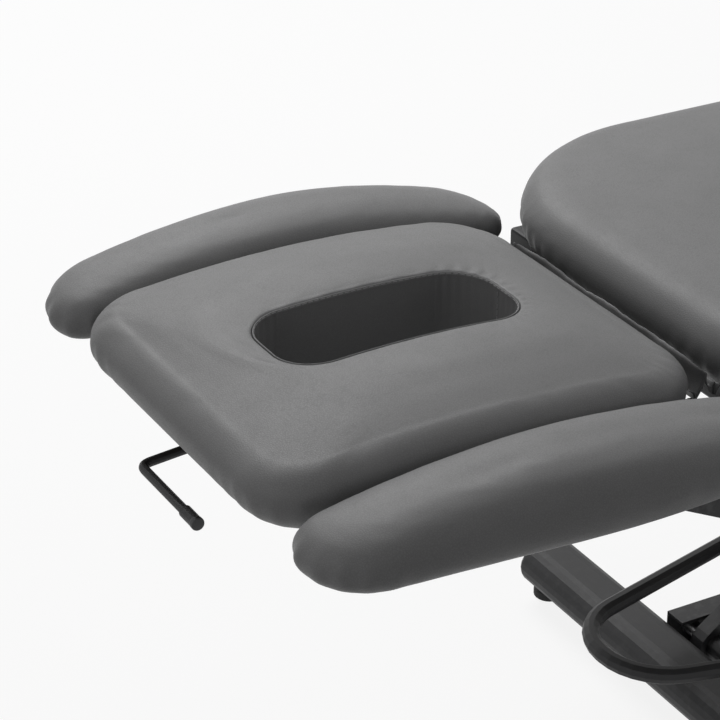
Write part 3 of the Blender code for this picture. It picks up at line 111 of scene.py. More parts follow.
class Form(NamedTuple):
    """How one pad is cut: its corners, and its section from the bottom seam to the crown."""
    corners: list
    edge: float = 0.029
    draw_in: float = 0.027
    bulge: float = 0.53
    shoulder: float = 0.008
    crown: float = 0.0
    rise: float = 0.0
    end_drop: float = 0.0
    peak: float = 0.0
    board: float = 0.036


BODY_EDGE = {"edge": 0.034, "draw_in": 0.020, "bulge": 0.38, "shoulder": 0.009, "crown": 0.003}
ARM_EDGE = {"edge": 0.023, "draw_in": 0.020, "bulge": 0.44, "shoulder": 0.005, "end_drop": 0.040,
            "peak": -0.05, "board": 0.028}

# Corners of each pad's outline, counter-clockwise: share along X, share along Y, radius
PAD_FORMS = {
    "head_cushion": Form([(0, 0.009, 0.070), (0.60, 0, 1.2), (1, 0.009, 0.080), (1, 0.991, 0.080),
                          (0.60, 1, 1.2), (0, 0.991, 0.070)],
                         rise=0.006, end_drop=0.022, peak=-0.02, crown=0.004),
    "main_cushion": Form([(0, 0, 0.225), (1, 0, 0.045), (1, 1, 0.045), (0, 1, 0.225)], **BODY_EDGE),
    "leg_cushion": Form([(0, 0, 0.045), (1, 0, 0.090), (1, 1, 0.090), (0, 1, 0.045)], **BODY_EDGE),
    "armrest_cushion_left": Form([(0, 0, 0.036), (1, 0, 0.036), (1, 0.829, 0.066), (0.614, 1.034, 0.90),
                                  (0, 0.829, 0.066)], **ARM_EDGE),
    "armrest_cushion_right": Form([(0, 0.171, 0.066), (0.614, -0.034, 0.90), (1, 0.171, 0.066),
                                   (1, 1, 0.036), (0, 1, 0.036)], **ARM_EDGE),
}


# ---------------------------------------------------------------- small helpers

def configure(thing, **settings):
    for name, value in settings.items():
        setattr(thing, name, value)
    return thing


def modifier(obj, name, kind, **settings):
    return configure(obj.modifiers.new(name, kind), **settings)


def reshape(obj, kind, **settings):
    """Adds a modifier of this kind and applies it."""
    modifier(obj, kind.lower(), kind, **settings)
    apply_modifiers(obj)


# ---------------------------------------------------------------- settings

def colour_setting(name, description, default):
    return bpy.props.FloatVectorProperty(
        name=name, description=description, default=default, min=0, max=1, size=3, subtype="COLOR")


def length_setting(name, description, default, low, high):
    return bpy.props.FloatProperty(
        name=name, description=description, default=default, min=low, max=high,
        subtype="DISTANCE", unit="LENGTH")


def share_setting(name, description, default, high=1):
    return bpy.props.FloatProperty(
        name=name, description=description, default=default, min=0, max=high, subtype="FACTOR")


def angle_setting(name, description, degrees):
    return bpy.props.FloatProperty(
        name=name, description=description, default=math.radians(degrees), subtype="ANGLE",
        unit="ROTATION")


class MassagePadSettings(bpy.types.PropertyGroup):
    colour: colour_setting("Leatherette", "Colour of the pads' cover", (0.168, 0.168, 0.169))
    gaiter_colour: colour_setting(
        "Gaiter", "Colour of the folded vinyl between the sections", (0.130, 0.130, 0.131))
    grain: length_setting(
        "Grain", "Size of one pebble of the leatherette's grain", 0.0013, 0.0002, 0.01)
    shrink: length_setting(
        "Slack", "How much smaller a pad is cut before it is filled", 0.0035, 0, 0.02)
    swell: length_setting(
        "Swell", "The furthest that the filling may push the cover out", 0.0050, 0, 0.03)
    pull: share_setting(
        "Pull lines", "How much of the filled cover's pull lines and hollows is kept", 0.35, 2)
    stitch: length_setting("Stitch", "Length of one stitch round the face slot", 0.0046, 0.001, 0.02)


class MassageMetalSettings(bpy.types.PropertyGroup):
    coat: colour_setting("Powder coat", "Colour of the frame's coating", (0.016, 0.016, 0.017))
    steel: colour_setting("Bright steel", "Colour of shafts and rods", (0.52, 0.52, 0.53))
    nylon: colour_setting("Nylon", "Colour of the glide blocks", (0.62, 0.61, 0.57))
    edge: length_setting("Edge", "Width of the rounding on cut steel edges", 0.0007, 0, 0.005)


class MassageStageSettings(bpy.types.PropertyGroup):
    floor: colour_setting("Floor", "Colour of the studio floor", (0.97, 0.97, 0.97))
    ground: share_setting("Floor bounce", "How much light the floor sends back up", 0.22)
    glow: share_setting(
        "Floor white", "Share of plain white in the floor's look under the table", 0.86)
    room: bpy.props.FloatProperty(
        name="Room light", description="Strength of the even light from all round", default=0.20,
        min=0, max=2)
    key: bpy.props.FloatProperty(
        name="Key lamp", description="Power of the large lamp above and behind", default=68.0,
        min=0, max=500, subtype="POWER", unit="POWER")
    view_from: bpy.props.FloatVectorProperty(
        name="Camera", description="Place of the camera", default=(-1.809, -1.892, 1.698), size=3,
        subtype="TRANSLATION", unit="LENGTH")
    heading: angle_setting("Heading", "The camera's direction, turned from +X towards +Y", 60.8)
    pitch: angle_setting("Pitch", "How far the camera looks down", 27.25)
    lens: bpy.props.FloatProperty(
        name="Lens", description="Focal length on a 36 mm frame", default=128.0, min=10, max=400,
        subtype="DISTANCE_CAMERA")


# ---------------------------------------------------------------- finishes

class Value:
    """A number that varies over a surface. Sums on it add the maths nodes."""

    def __init__(self, finish, socket):
        self.finish = finish
        self.socket = socket

    def maths(self, operation, first, second):
        return self.finish.add("ShaderNodeMath", {"operation": operation}, {0: first, 1: second})

    def __add__(self, other):
        return self.maths("ADD", self, other)

    def __sub__(self, other):
        return self.maths("SUBTRACT", self, other)

    def __rsub__(self, other):
        return self.maths("SUBTRACT", other, self)

    def __mul__(self, other):
        return self.maths("MULTIPLY", self, other)

    __radd__ = __add__
    __rmul__ = __mul__

    def between(self, low, high):
        """0 at low, 1 at high, smooth in between."""
        return self.finish.add("ShaderNodeMapRange", {
            "interpolation_type": "SMOOTHSTEP", "clamp": True}, {
            "Value": self, "From Min": low, "From Max": high})


class Finish:
    """One material and the nodes that give it its grain."""

    def __init__(self, name, **constants):
        self.material = bpy.data.materials.new(name)
        self.material.use_nodes = True
        self.tree = self.material.node_tree
        self.shader = self.tree.nodes["Principled BSDF"]
        for socket, value in constants.items():
            self.shader.inputs[socket.replace("_", " ")].default_value = value

    def add(self, kind, settings=None, sockets=None, output=0):
        """A node of this type, its settings made first, then the values or links of its sockets."""
        node = configure(self.tree.nodes.new(kind), **(settings or {}))
        for key, value in (sockets or {}).items():
            if isinstance(value, Value):
                self.tree.links.new(value.socket, node.inputs[key])
            elif value is not None:
                node.inputs[key].default_value = value
        return Value(self, node.outputs[output])

    def place(self, stretch=None):
        """The point on the piece, stretched along each axis where asked."""
        point = self.add("ShaderNodeTexCoord", output="Object")
        if stretch is None:
            return point
        return self.add("ShaderNodeVectorMath", {"operation": "MULTIPLY"}, {0: point, 1: stretch})

    def cloud(self, pitch, detail=2.0, roughness=0.5, stretch=None, distortion=0.0):
        """Soft irregular noise whose lumps are about pitch across."""
        return self.add("ShaderNodeTexNoise", {}, {
            "Vector": self.place(stretch), "Scale": 1 / pitch, "Detail": detail, "Roughness": roughness,
            "Distortion": distortion})

    def pebbles(self, pitch, kind="F1"):
        """The distance within cells that are about pitch across."""
        return self.add("ShaderNodeTexVoronoi", {"feature": kind}, {
            "Vector": self.place(), "Scale": 1 / pitch}, "Distance")

    def edges(self):
        """High along outer edges, where a coating is rubbed."""
        return self.add("ShaderNodeNewGeometry", output="Pointiness")

    def mix(self, share, low, high):
        """A colour between two colours."""
        return self.add("ShaderNodeMix", {"data_type": "RGBA"}, {0: share, 6: low, 7: high}, 2)

    def relief(self, height, depth, strength=1.0):
        """Bump from a height between 0 and 1, depth metres deep."""
        normal = self.add("ShaderNodeBump", {}, {
            "Strength": strength, "Distance": depth, "Height": height})
        self.tree.links.new(normal.socket, self.shader.inputs["Normal"])

    def varies(self, **sockets):
        for name, value in sockets.items():
            self.tree.links.new(value.socket, self.shader.inputs[name.replace("_", " ")])


def rgba(colour, times=1.0):
    return (*[min(1.0, channel * times) for channel in colour], 1.0)


def leatherette(name, colour, grain, lustre=0.46):
    """Embossed vinyl: small pebbles, creases between them, a soft sheen, slow changes of tone, and
    painted shade darkening the creases.
    """
    made = Finish(name, IOR=1.46, Specular_IOR_Level=0.42)
    cell = made.pebbles(grain, "F1")
    crease = made.pebbles(grain * 1.7, "DISTANCE_TO_EDGE").between(0.0, 0.22)
    fine = made.cloud(grain * 0.45, 3.0)
    slow = made.cloud(0.11, 3.0, 0.55)
    rubbed = made.cloud(0.035, 4.0, 0.6)
    height = (1 - cell) * 0.45 + crease * 0.35 + fine * 0.20
    # Random tone, plus painted shade: the colour is darker in the creases between the pebbles.
    tone_and_crease_shade = slow * 0.55 + fine * 0.25 + crease * 0.20
    made.varies(
        Base_Color=made.mix(tone_and_crease_shade.between(0.15, 0.85), rgba(colour, 0.86), rgba(colour, 1.13)),
        Roughness=lustre - 0.05 + (rubbed * 0.12 + (1 - crease) * 0.10))
    made.relief(height, 0.00022, 0.55)
    return made.material


def lining(name, colour):
    """Smooth knitted lining of the face slot."""
    made = Finish(name, IOR=1.45)
    rows = made.cloud(0.0011, 2.0, 0.5, (1.0, 1.0, 2.2))
    slow = made.cloud(0.05, 2.0)
    made.varies(
        Base_Color=made.mix((rows * 0.6 + slow * 0.4).between(0.2, 0.8),
                            rgba(colour, 0.82), rgba(colour, 1.15)),
        Roughness=0.66 + slow * 0.14)
    made.relief(rows, 0.0002, 0.5)
    return made.material


def powder_coat(name, colour):
    """Fine-textured powder coat: orange peel, a little dust, and paler rubbed edges."""
    made = Finish(name, IOR=1.5, Specular_IOR_Level=0.32)
    peel = made.cloud(0.0016, 2.0, 0.55)
    speckle = made.pebbles(0.0009, "F1")
    dust = made.cloud(0.09, 4.0, 0.6)
    worn = made.edges().between(0.53, 0.60) * made.cloud(0.012, 3.0).between(0.45, 0.70)
    base = made.mix(dust.between(0.35, 0.75), rgba(colour, 0.85), rgba(colour, 1.35))
    made.varies(
        Base_Color=made.mix(worn * 0.55, base, rgba((0.075, 0.075, 0.078))),
        Roughness=0.40 + peel * 0.14 + dust * 0.08 - worn * 0.10)
    made.relief(peel * 0.6 + speckle * 0.4, 0.00016, 0.45)
    return made.material


def bright_steel(name, colour):
    """Ground steel with fine rings round the shaft and a few darker stains."""
    made = Finish(name, Metallic=1.0)
    rings = made.cloud(0.0007, 2.0, 0.6, (0.12, 1.0, 0.12))
    stain = made.cloud(0.02, 3.0, 0.6)
    made.varies(
        Base_Color=made.mix(stain.between(0.3, 0.8), rgba(colour, 1.06), rgba(colour, 0.74)),
        Roughness=0.22 + rings * 0.14 + stain * 0.08)
    made.relief(rings, 0.00006, 0.4)
    return made.material


def moulded(name, colour, shine, grain=0.0012, depth=0.00012):
    """Moulded plastic or rubber with a spark-eroded texture and handling marks."""
    made = Finish(name, IOR=1.49)
    spark = made.cloud(grain, 3.0, 0.6)
    marks = made.cloud(0.03, 4.0, 0.6, (1.0, 1.0, 0.5))
    made.varies(
        Base_Color=made.mix(marks.between(0.3, 0.8), rgba(colour, 0.90), rgba(colour, 1.20)),
        Roughness=shine + spark * 0.10 + marks * 0.10)
    made.relief(spark, depth, 0.5)
    return made.material


def plywood(name):
    """Birch plywood: long grain along X and thin plies up the edge."""
    made = Finish(name, IOR=1.45)
    grain = made.cloud(0.010, 5.0, 0.6, (0.06, 1.0, 1.0), 0.4)
    pores = made.cloud(0.0022, 3.0, 0.6, (0.05, 1.0, 1.0))
    plies = made.add("ShaderNodeTexWave", {"bands_direction": "Z", "wave_profile": "SIN"}, {
        "Vector": made.place(), "Scale": 60.0, "Distortion": 0.3}, 1)
    warm = made.mix(grain.between(0.30, 0.70), rgba((0.60, 0.43, 0.25)), rgba((0.44, 0.29, 0.15)))
    made.varies(
        Base_Color=made.mix(plies.between(0.55, 0.95) * 0.30, warm, rgba((0.28, 0.17, 0.09))),
        Roughness=0.52 + pores * 0.20)
    made.relief(grain * 0.5 + pores * 0.5, 0.00025, 0.5)
    return made.material


@cache
def surface(name):
    """One of the table's materials, made the first time it is asked for."""
    pads, metal = bpy.context.scene.massage_pads, bpy.context.scene.massage_metal
    make = {
        "leather": lambda: leatherette("grey_leatherette", pads.colour, pads.grain),
        "gaiter": lambda: leatherette("gaiter_vinyl", pads.gaiter_colour, pads.grain * 0.8, 0.40),
        # The lining takes the pads' colour darkened to 0.80: painted shade for the deep face slot.
        "lining": lambda: lining("slot_lining", [c * 0.80 for c in pads.colour]),
        "thread": lambda: moulded("stitch_thread", [c * 1.7 for c in pads.colour], 0.62, 0.0006),
        "coat": lambda: powder_coat("black_powder_coat", metal.coat),
        "steel": lambda: bright_steel("ground_steel", metal.steel),
        "nylon": lambda: moulded("pale_nylon", metal.nylon, 0.42, 0.0014, 0.00008),
        "plastic": lambda: moulded("black_plastic", (0.021, 0.021, 0.022), 0.40),
        "rubber": lambda: moulded("black_rubber", (0.017, 0.017, 0.017), 0.70, 0.0018, 0.0002),
        "zinc": lambda: bright_steel("zinc_plate", (0.50, 0.49, 0.45)),
        "wood": lambda: plywood("birch_plywood"),
    }[name]
    return make()


# ---------------------------------------------------------------- outlines and shapes

def arc(centre, radius, start, end, steps):
    turns = [start + (end - start) * i / steps for i in range(steps + 1)]
    return [(centre[0] + radius * math.cos(turn), centre[1] + radius * math.sin(turn))
            for turn in turns]


def rounded(corners, steps=16):
    """Corners (x, y, radius) counter-clockwise, each rounded by an arc of its radius."""
    outline = []
    for index, (x, y, radius) in enumerate(corners):
        corner = Vector((x, y))
        before = (Vector(corners[index - 1][:2]) - corner).normalized()
        after = (Vector(corners[(index + 1) % len(corners)][:2]) - corner).normalized()
        half_angle = before.angle(after) / 2
        centre = corner + (before + after).normalized() * radius / math.sin(half_angle)
        start = corner + before * (radius / math.tan(half_angle)) - centre
        end = corner + after * (radius / math.tan(half_angle)) - centre
        start_angle = math.atan2(start.y, start.x)
        turn = (math.atan2(end.y, end.x) - start_angle + math.pi) % (2 * math.pi) - math.pi
        outline += arc(centre, radius, start_angle, start_angle + turn, steps)
    return outline


def resample(outline, count):
    """count points round the outline, evenly spaced between its extremes at +X, +Y, -X and -Y."""
    def reach(point, a):
        along = point[0] * math.cos(a) + point[1] * math.sin(a)
        return along - 1e-3 * abs(point[0] * math.sin(a) - point[1] * math.cos(a))

    middle = [(max(p[k] for p in outline) + min(p[k] for p in outline)) / 2 for k in (0, 1)]
    centred = [(x - middle[0], y - middle[1]) for x, y in outline]
    starts = [max(range(len(centred)), key=lambda i, a=a: reach(centred[i], a))
              for a in (0, math.pi / 2, math.pi, 3 * math.pi / 2)]
    points = []
    for index, start in enumerate(starts):
        stretch = [outline[start]]
        step = start
        while step != starts[(index + 1) % 4]:
            step = (step + 1) % len(outline)
            stretch.append(outline[step])
        path = np.array(stretch)
        lengths = np.concatenate([[0], np.cumsum(np.linalg.norm(np.diff(path, axis=0), axis=1))])
        wanted = lengths[-1] * np.arange(count // 4) / (count // 4)
        points += zip(np.interp(wanted, lengths, path[:, 0]), np.interp(wanted, lengths, path[:, 1]))
    return np.array(points)


def inset(points, distance):
    """The outline moved inward, square to itself."""
    tangent = np.roll(points, -1, axis=0) - np.roll(points, 1, axis=0)
    tangent /= np.maximum(np.linalg.norm(tangent, axis=1, keepdims=True), 1e-9)
    return points + np.stack([-tangent[:, 1], tangent[:, 0]], axis=1) * distance


def towards_spine(points, share):
    """The outline drawn in to the given share of its distance from the pad's middle line."""
    low, high = points.min(0), points.max(0)
    middle, half = (low + high) / 2, (high - low) / 2
    spare = np.maximum(half - half.min(), 0)
    near = middle + np.clip(points - middle, -spare, spare)
    return near + (points - near) * share


def link(obj):
    bpy.context.scene.collection.objects.link(obj)
    return obj


def solid(name, bm, finish=None, smooth=40):
    """A finished object from bm."""
    bmesh.ops.recalc_face_normals(bm, faces=bm.faces)
    mesh = bpy.data.meshes.new(name)
    bm.to_mesh(mesh)
    bm.free()
    obj = link(bpy.data.objects.new(name, mesh))
    if finish:
        mesh.materials.append(surface(finish))
    mesh.shade_smooth()
    mesh.set_sharp_from_angle(angle=math.radians(smooth))
    return obj


def loft(name, rings, close=True):
    """Rings of points joined in turn, the ends closed, or the last ring joined to the first."""
    bm = bmesh.new()
    layers = [[bm.verts.new(point) for point in ring] for ring in rings]
    pairs = list(zip(layers, layers[1:]))
    if not close:
        pairs.append((layers[-1], layers[0]))
    for low, high in pairs:
        for i in range(len(low)):
            j = (i + 1) % len(low)
            bm.faces.new((low[i], low[j], high[j], high[i]))
    if close:
        bm.faces.new(layers[0])
        bm.faces.new(layers[-1])
    return solid(name, bm)


def joined(name, pieces, finish, smooth=40):
    """Several loose shapes as one object."""
    bm = bmesh.new()
    for piece in pieces:
        piece.data.transform(piece.matrix_world)
        bm.from_mesh(piece.data)
        bpy.data.objects.remove(piece, do_unlink=True)
    return solid(name, bm, finish, smooth)


def turned(centre, axis, profile, sides=32):
    """A turned shape from (distance along the axis, radius) pairs, about a centre."""
    turn = Vector(axis).to_track_quat("Z", "Y").to_matrix()
    angles = [2 * math.pi * i / sides for i in range(sides)]
    return loft("turned", [
        [Vector(centre) + turn @ Vector((radius * math.cos(a), radius * math.sin(a), along))
         for a in angles] for along, radius in profile])


def tube(points, radius, sides=12):
    """A round bar through points, with domed ends."""
    path = [Vector(p) for p in points]
    rings = []
    ahead = (path[1] - path[0]).normalized()
    side = ahead.orthogonal().normalized()
    stops = [(path[0] - ahead * radius * 0.45, radius * 0.55)] + [(p, radius) for p in path]
    stops.append((path[-1] + (path[-1] - path[-2]).normalized() * radius * 0.45, radius * 0.55))
    for index, (place, size) in enumerate(stops):
        before = stops[max(index - 1, 0)][0]
        after = stops[min(index + 1, len(stops) - 1)][0]
        ahead = (after - before).normalized()
        side = (side - ahead * side.dot(ahead)).normalized()
        up = ahead.cross(side)
        rings.append([place + (side * math.cos(a) + up * math.sin(a)) * size
                      for a in (2 * math.pi * k / sides for k in range(sides))])
    return loft("bar", rings)


# ---------------------------------------------------------------- pads

class Pad:
    """The cut, filling and seams of one padded piece, fitted to its CAD solid."""

    POINTS = 320
    FINE_POINTS = 480

    # Gathers where the cover is pulled round a corner: reach, share of the side, pitch and depth
    GATHER_REACH = 0.026
    GATHER_HEIGHT = 0.55
    GATHER_PITCH = 0.026
    GATHER_DEPTH = 0.0011

    # Puckers round the stitched rim: their number, depth, way out from the rim, and spread
    PUCKERS = 29
    PUCKER_DEPTH = 0.00035
    PUCKER_OUT = 0.008
    PUCKER_SPREAD = 0.006

    # Slow unevenness of the top
    UNEVEN = 0.0006

    # How far the bare middle of the underside is lifted, and over what width
    TUCK_LIFT = 0.005
    TUCK_WIDTH = 0.008

    # The sleeve's section at the rim: (way into the slot, height over the rim's seam)
    HEM = ((0.0002, -0.0014), (0.0003, -0.0002), (0.0008, 0.0003), (0.0014, 0.0002), (0.0018, -0.0005),
           (0.0018, -0.0014), (0.0013, -0.0022), (0.0009, -0.0030))

    def __init__(self, node, slotted=False):
        self.node = node
        self.low, self.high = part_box(node)
        self.slotted = slotted
        self.form = PAD_FORMS[node]
        settings = bpy.context.scene.massage_pads
        self.shrink, self.swell, self.pull = settings.shrink, settings.swell, settings.pull
        (low_x, low_y, _), (high_x, high_y, _) = self.low, self.high
        corners = [(low_x + u * (high_x - low_x), low_y + v * (high_y - low_y), radius)
                   for u, v, radius in self.form.corners]
        self.outline = resample(rounded(corners), self.POINTS)

    def slot_line(self, grow=0.0, count=None):
        """The slot's outline, moved outward by grow."""
        high = self.high.x - SLOT["from_end"] + grow
        low = high - SLOT["length"] - 2 * grow
        half = SLOT["width"] / 2 + grow
        corner = SLOT["corner"] + grow
        corners = [(x, y, corner) for x, y in ((low, -half), (high, -half), (high, half), (low, half))]
        return resample(rounded(corners), count or self.POINTS)

    def sway(self, points):
        """The pad's gentle arch, over points whose height is counted from its underside."""
        middle, half = (self.low.x + self.high.x) / 2, (self.high.x - self.low.x) / 2
        share = (points[:, 0] - middle) / half - self.form.peak
        lifted = points.copy()
        arch = 1 + (self.form.rise - self.form.end_drop * share ** 2) / PAD_THICK
        lifted[:, 2] = UNDERSIDE + points[:, 2] * arch
        return lifted

    def edge(self, slack):
        """(inset, height) from the bottom seam out over the bulge and in over the shoulder."""
        form = self.form
        middle = PAD_THICK * form.bulge
        over = PAD_THICK - slack - form.shoulder - middle
        rows = []
        for turn in np.linspace(SEAM_ANGLE, 0, 9):
            rows.append((form.draw_in * (1 - math.cos(turn)) / (1 - math.cos(SEAM_ANGLE)),
                         middle * (1 - math.sin(turn) / math.sin(SEAM_ANGLE))))
        for turn in np.radians(np.linspace(0, 90, 17)[1:]):
            rows.append((form.edge * (1 - math.cos(turn)), middle + over * math.sin(turn)))
        return rows

    def cut(self, slack=0.0):
        """The closed shape of the cover, smaller all round by the slack."""
        form = self.form
        thick = PAD_THICK - slack
        outer = inset(self.outline, slack)
        flat = [(inset(outer, distance), height) for distance, height in self.edge(slack)]
        shoulder = inset(outer, form.edge)
        if self.slotted:
            rim = self.slot_line()
            collar = inset(rim, -SLOT_COLLAR)
            shares = np.linspace(0, 1, 19)[1:]
            falls = np.interp(shares, [0, 0.25, 0.5, 0.75, 1],
                              [form.shoulder, form.shoulder * 0.45, form.shoulder * 0.15, 0.0, 0.0])
            crest = PAD_THICK + form.crown
            level = np.interp(shares, [0, 0.6, 1],
                              [thick, thick + form.crown, crest - SLOT["dip"] * 0.6])
            flat += [(shoulder + (collar - shoulder) * share, top - fall)
                     for share, fall, top in zip(shares, falls, level)]
            self.free_rings = len(flat)
            flat += [(inset(rim, -grow), crest - SLOT["dip"] * drop) for grow, drop in SLOT_ROUNDING]
            wall_top = crest - SLOT["dip"] * SLOT_WALL_TOP
            flat += [(rim, height) for height in np.linspace(wall_top, 0.0, 12)]
            under = flat[0][0]
            flat += [(rim + (under - rim) * share, 0.0) for share in np.linspace(0, 1, 14)[1:-1]]
        else:
            core = towards_spine(shoulder, 0.25)
            flat += [(shoulder + (core - shoulder) * share,
                      thick + form.crown - (form.shoulder + form.crown) * (1 - share) ** 2)
                     for share in np.linspace(0, 1, 13)[1:]]
        rings = [self.sway(np.column_stack([ring, np.full(len(ring), height)]))
                 for ring, height in flat]
        return loft(self.node + "_cover", rings, close=not self.slotted)

    def held(self, points):
        """Where the cover is stapled to the board or sewn to the slot's sleeve, and so stays."""
        still = points[:, 2] < UNDERSIDE + STAPLED
        if self.slotted:
            still[self.free_rings * self.POINTS:] = True
        return still

    def fill(self, obj):
        """How far the filling moves each point of the cover, cut small and held at its seams."""
        start = coordinates(obj)
        held = obj.vertex_groups.new(name="held")
        held.add([int(i) for i in np.nonzero(self.held(start))[0]], 1.0, "REPLACE")
        cloth = modifier(obj, "filling", "CLOTH")
        configure(cloth.settings, use_pressure=True, uniform_pressure_force=4.0, tension_stiffness=18,
                  compression_stiffness=18, bending_stiffness=1.2, vertex_group_mass=held.name)
        cloth.settings.effector_weights.gravity = 0.0
        cloth.collision_settings.use_collision = False
        configure(cloth.point_cache, frame_start=1, frame_end=CLOTH_FRAMES)
        for step in range(1, CLOTH_FRAMES + 1):
            bpy.context.scene.frame_set(step)
        apply_modifiers(obj)
        bpy.context.scene.frame_set(1)
        moved = coordinates(obj) - start
        length = np.linalg.norm(moved, axis=1, keepdims=True)
        moved *= np.minimum(1.0, self.swell / np.maximum(length, 1e-9))
        set_coordinates(obj, start)
        obj.vertex_groups.clear()
        return moved

    def fit(self, obj, full):
        """Brings the cover out to its full size."""
        if self.slotted:
            set_coordinates(obj, coordinates(full))
        else:
            reshape(obj, "SHRINKWRAP", target=full, wrap_method="NEAREST_SURFACEPOINT")
            reshape(obj, "CORRECTIVE_SMOOTH", smooth_type="SIMPLE", iterations=4, use_only_smooth=True)
        bpy.data.objects.remove(full, do_unlink=True)

    def crease(self, obj):
        """Small gathers where the cover is pulled round the corners, and round the stitched rim."""
        points = coordinates(obj)
        outline = resample(self.outline.tolist(), self.FINE_POINTS)
        ahead = np.roll(outline, -1, axis=0) - outline
        heading = np.unwrap(np.arctan2(ahead[:, 1], ahead[:, 0]))
        bend = np.abs(np.roll(heading, -6) - np.roll(heading, 6)) % (2 * math.pi)
        bend = np.minimum(bend, 2 * math.pi - bend)
        bend = np.convolve(np.concatenate([bend[-12:], bend, bend[:12]]), np.ones(25) / 25, "valid")
        along = np.cumsum(np.linalg.norm(ahead, axis=1))
        outward = np.stack([ahead[:, 1], -ahead[:, 0]], axis=1)
        outward /= np.maximum(np.linalg.norm(outward, axis=1, keepdims=True), 1e-9)
        tree = kd_tree(outline)
        rim = kd_tree(self.slot_line(0.0, self.FINE_POINTS)) if self.slotted else None
        for index, (x, y, z) in enumerate(points):
            _, near, distance = tree.find((x, y, 0))
            share = (z - UNDERSIDE) / PAD_THICK
            if distance < self.GATHER_REACH and share < self.GATHER_HEIGHT:
                window = math.sin(math.pi * min(max(share / self.GATHER_HEIGHT, 0), 1))
                window *= min(bend[near] / 0.22, 1.0)
                drift = 2.0 * noise.noise(Vector((x, y, 0)) * 9)
                wave = math.sin(along[near] * 2 * math.pi / self.GATHER_PITCH + drift)
                step = self.GATHER_DEPTH * window * wave
                points[index, 0] += outward[near, 0] * step
                points[index, 1] += outward[near, 1] * step
            if rim is not None and share > 0.5:
                _, spot, distance = rim.find((x, y, 0))
                if 0.002 < distance < 0.024:
                    window = math.exp(-((distance - self.PUCKER_OUT) / self.PUCKER_SPREAD) ** 2)
                    wave = math.sin(spot * 2 * math.pi * self.PUCKERS / self.FINE_POINTS)
                    points[index, 2] += self.PUCKER_DEPTH * window * wave
            hollow = self.UNEVEN * noise.noise(Vector((x * 7.5, y * 7.5, self.low.x)))
            points[index, 2] += hollow * min(max((share - 0.6) / 0.3, 0), 1)
        set_coordinates(obj, points)

    def tuck(self, obj):
        """Lifts the bare middle of the underside into the board."""
        points = coordinates(obj)
        tree = kd_tree(self.outline)
        slot = kd_tree(self.slot_line()) if self.slotted else None
        for index in np.nonzero(points[:, 2] < UNDERSIDE + STAPLED)[0]:
            x, y, z = points[index]
            reach = tree.find((x, y, 0))[2] - self.form.board
            if slot is not None:
                reach = min(reach, slot.find((x, y, 0))[2] - SLOT_TO_BOARD)
            lift = self.TUCK_LIFT * min(max(reach / self.TUCK_WIDTH, 0), 1)
            points[index, 2] = max(z, UNDERSIDE) + lift
        set_coordinates(obj, points)

    def make(self):
        """The finished cover, as one closed object."""
        obj = self.cut(self.shrink)
        if not self.slotted:
            reshape(obj, "REMESH", mode="VOXEL", voxel_size=CLOTH_SQUARE)
        pulled = np.zeros((len(obj.data.vertices), 3))
        moved = self.fill(obj)
        pulled = calm(obj, moved, 3) - calm(obj, moved, 60)
        self.fit(obj, self.cut())
        set_coordinates(obj, coordinates(obj) + pulled * self.pull)
        self.crease(obj)
        self.tuck(obj)
        reshape(obj, "SUBSURF", levels=1, render_levels=1)
        obj.data.materials.clear()
        obj.data.materials.append(surface("leather"))
        if self.slotted:
            obj = self.add_sleeve(obj)
        obj.data.shade_smooth()
        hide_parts(self.node)
        return obj

    def seam_height(self):
        """Height of the rim's seam over the underside, before the pad's arch."""
        return PAD_THICK + self.form.crown - SLOT["dip"] * SLOT_SEAM

    def rim_height(self, x):
        """Height of the rim's seam at x."""
        return float(self.sway(np.array([[x, 0.0, self.seam_height()]]))[0, 2])

    def add_sleeve(self, cover):
        """The lining sewn to the rim: a folded hem, the wall, and a turned-under lower edge."""
        seam, count = self.seam_height(), 640
        line = resample(self.slot_line(0.0, count).tolist(), count)
        turn = np.arange(count) * 2 * math.pi / count
        ends = np.abs(line[:, 0] - line[:, 0].mean()) > SLOT["length"] / 2 - SLOT["corner"]
        section = [(into, seam + rise, 0.0) for into, rise in self.HEM]
        for share in np.linspace(0, 1, 14):
            height = (seam - 0.0040) * (1 - share) + 0.0005 * share
            section.append((0.0008 + 0.0004 * math.sin(share * math.pi), height,
                            0.0004 * math.exp(-share / 0.3)))
        section += [(-0.0050, -0.0006, 0.0), (-0.0050, 0.0002, 0.0), (-0.0002, 0.0006, 0.0),
                    (0.0002, seam / 2, 0.0)]
        rings = []
        for into, height, pucker in section:
            ring = inset(line, into) + (inset(line, into + 1.0) - inset(line, into)) * (
                pucker * np.sin(turn * 70) * ends)[:, None]
            rings.append(self.sway(np.column_stack([ring, np.full(count, height)])))
        sleeve = loft("sleeve", rings, close=False)
        part = np.ones(len(sleeve.data.polygons), dtype=np.int32)
        part[:count * (len(self.HEM) - 1)] = 0
        sleeve.data.polygons.foreach_set("material_index", part)
        cover.data.materials.append(surface("lining"))
        bm = bmesh.new()
        bm.from_mesh(cover.data)
        bm.from_mesh(sleeve.data)
        bm.to_mesh(cover.data)
        bm.free()
        bpy.data.objects.remove(sleeve, do_unlink=True)
        return cover


def kd_tree(points):
    tree = KDTree(len(points))
    for index, (x, y) in enumerate(points):
        tree.insert((x, y, 0), index)
    tree.balance()
    return tree


def coordinates(obj):
    flat = np.empty(len(obj.data.vertices) * 3)
    obj.data.vertices.foreach_get("co", flat)
    return flat.reshape(-1, 3)


def set_coordinates(obj, points):
    obj.data.vertices.foreach_set("co", np.asarray(points).ravel())
    obj.data.update()


def apply_modifiers(obj):
    graph = bpy.context.evaluated_depsgraph_get()
    graph.update()
    mesh = bpy.data.meshes.new_from_object(obj.evaluated_get(graph), preserve_all_data_layers=True,
                                           depsgraph=graph)
    obj.modifiers.clear()
    obj.data = mesh
    mesh.name = obj.name


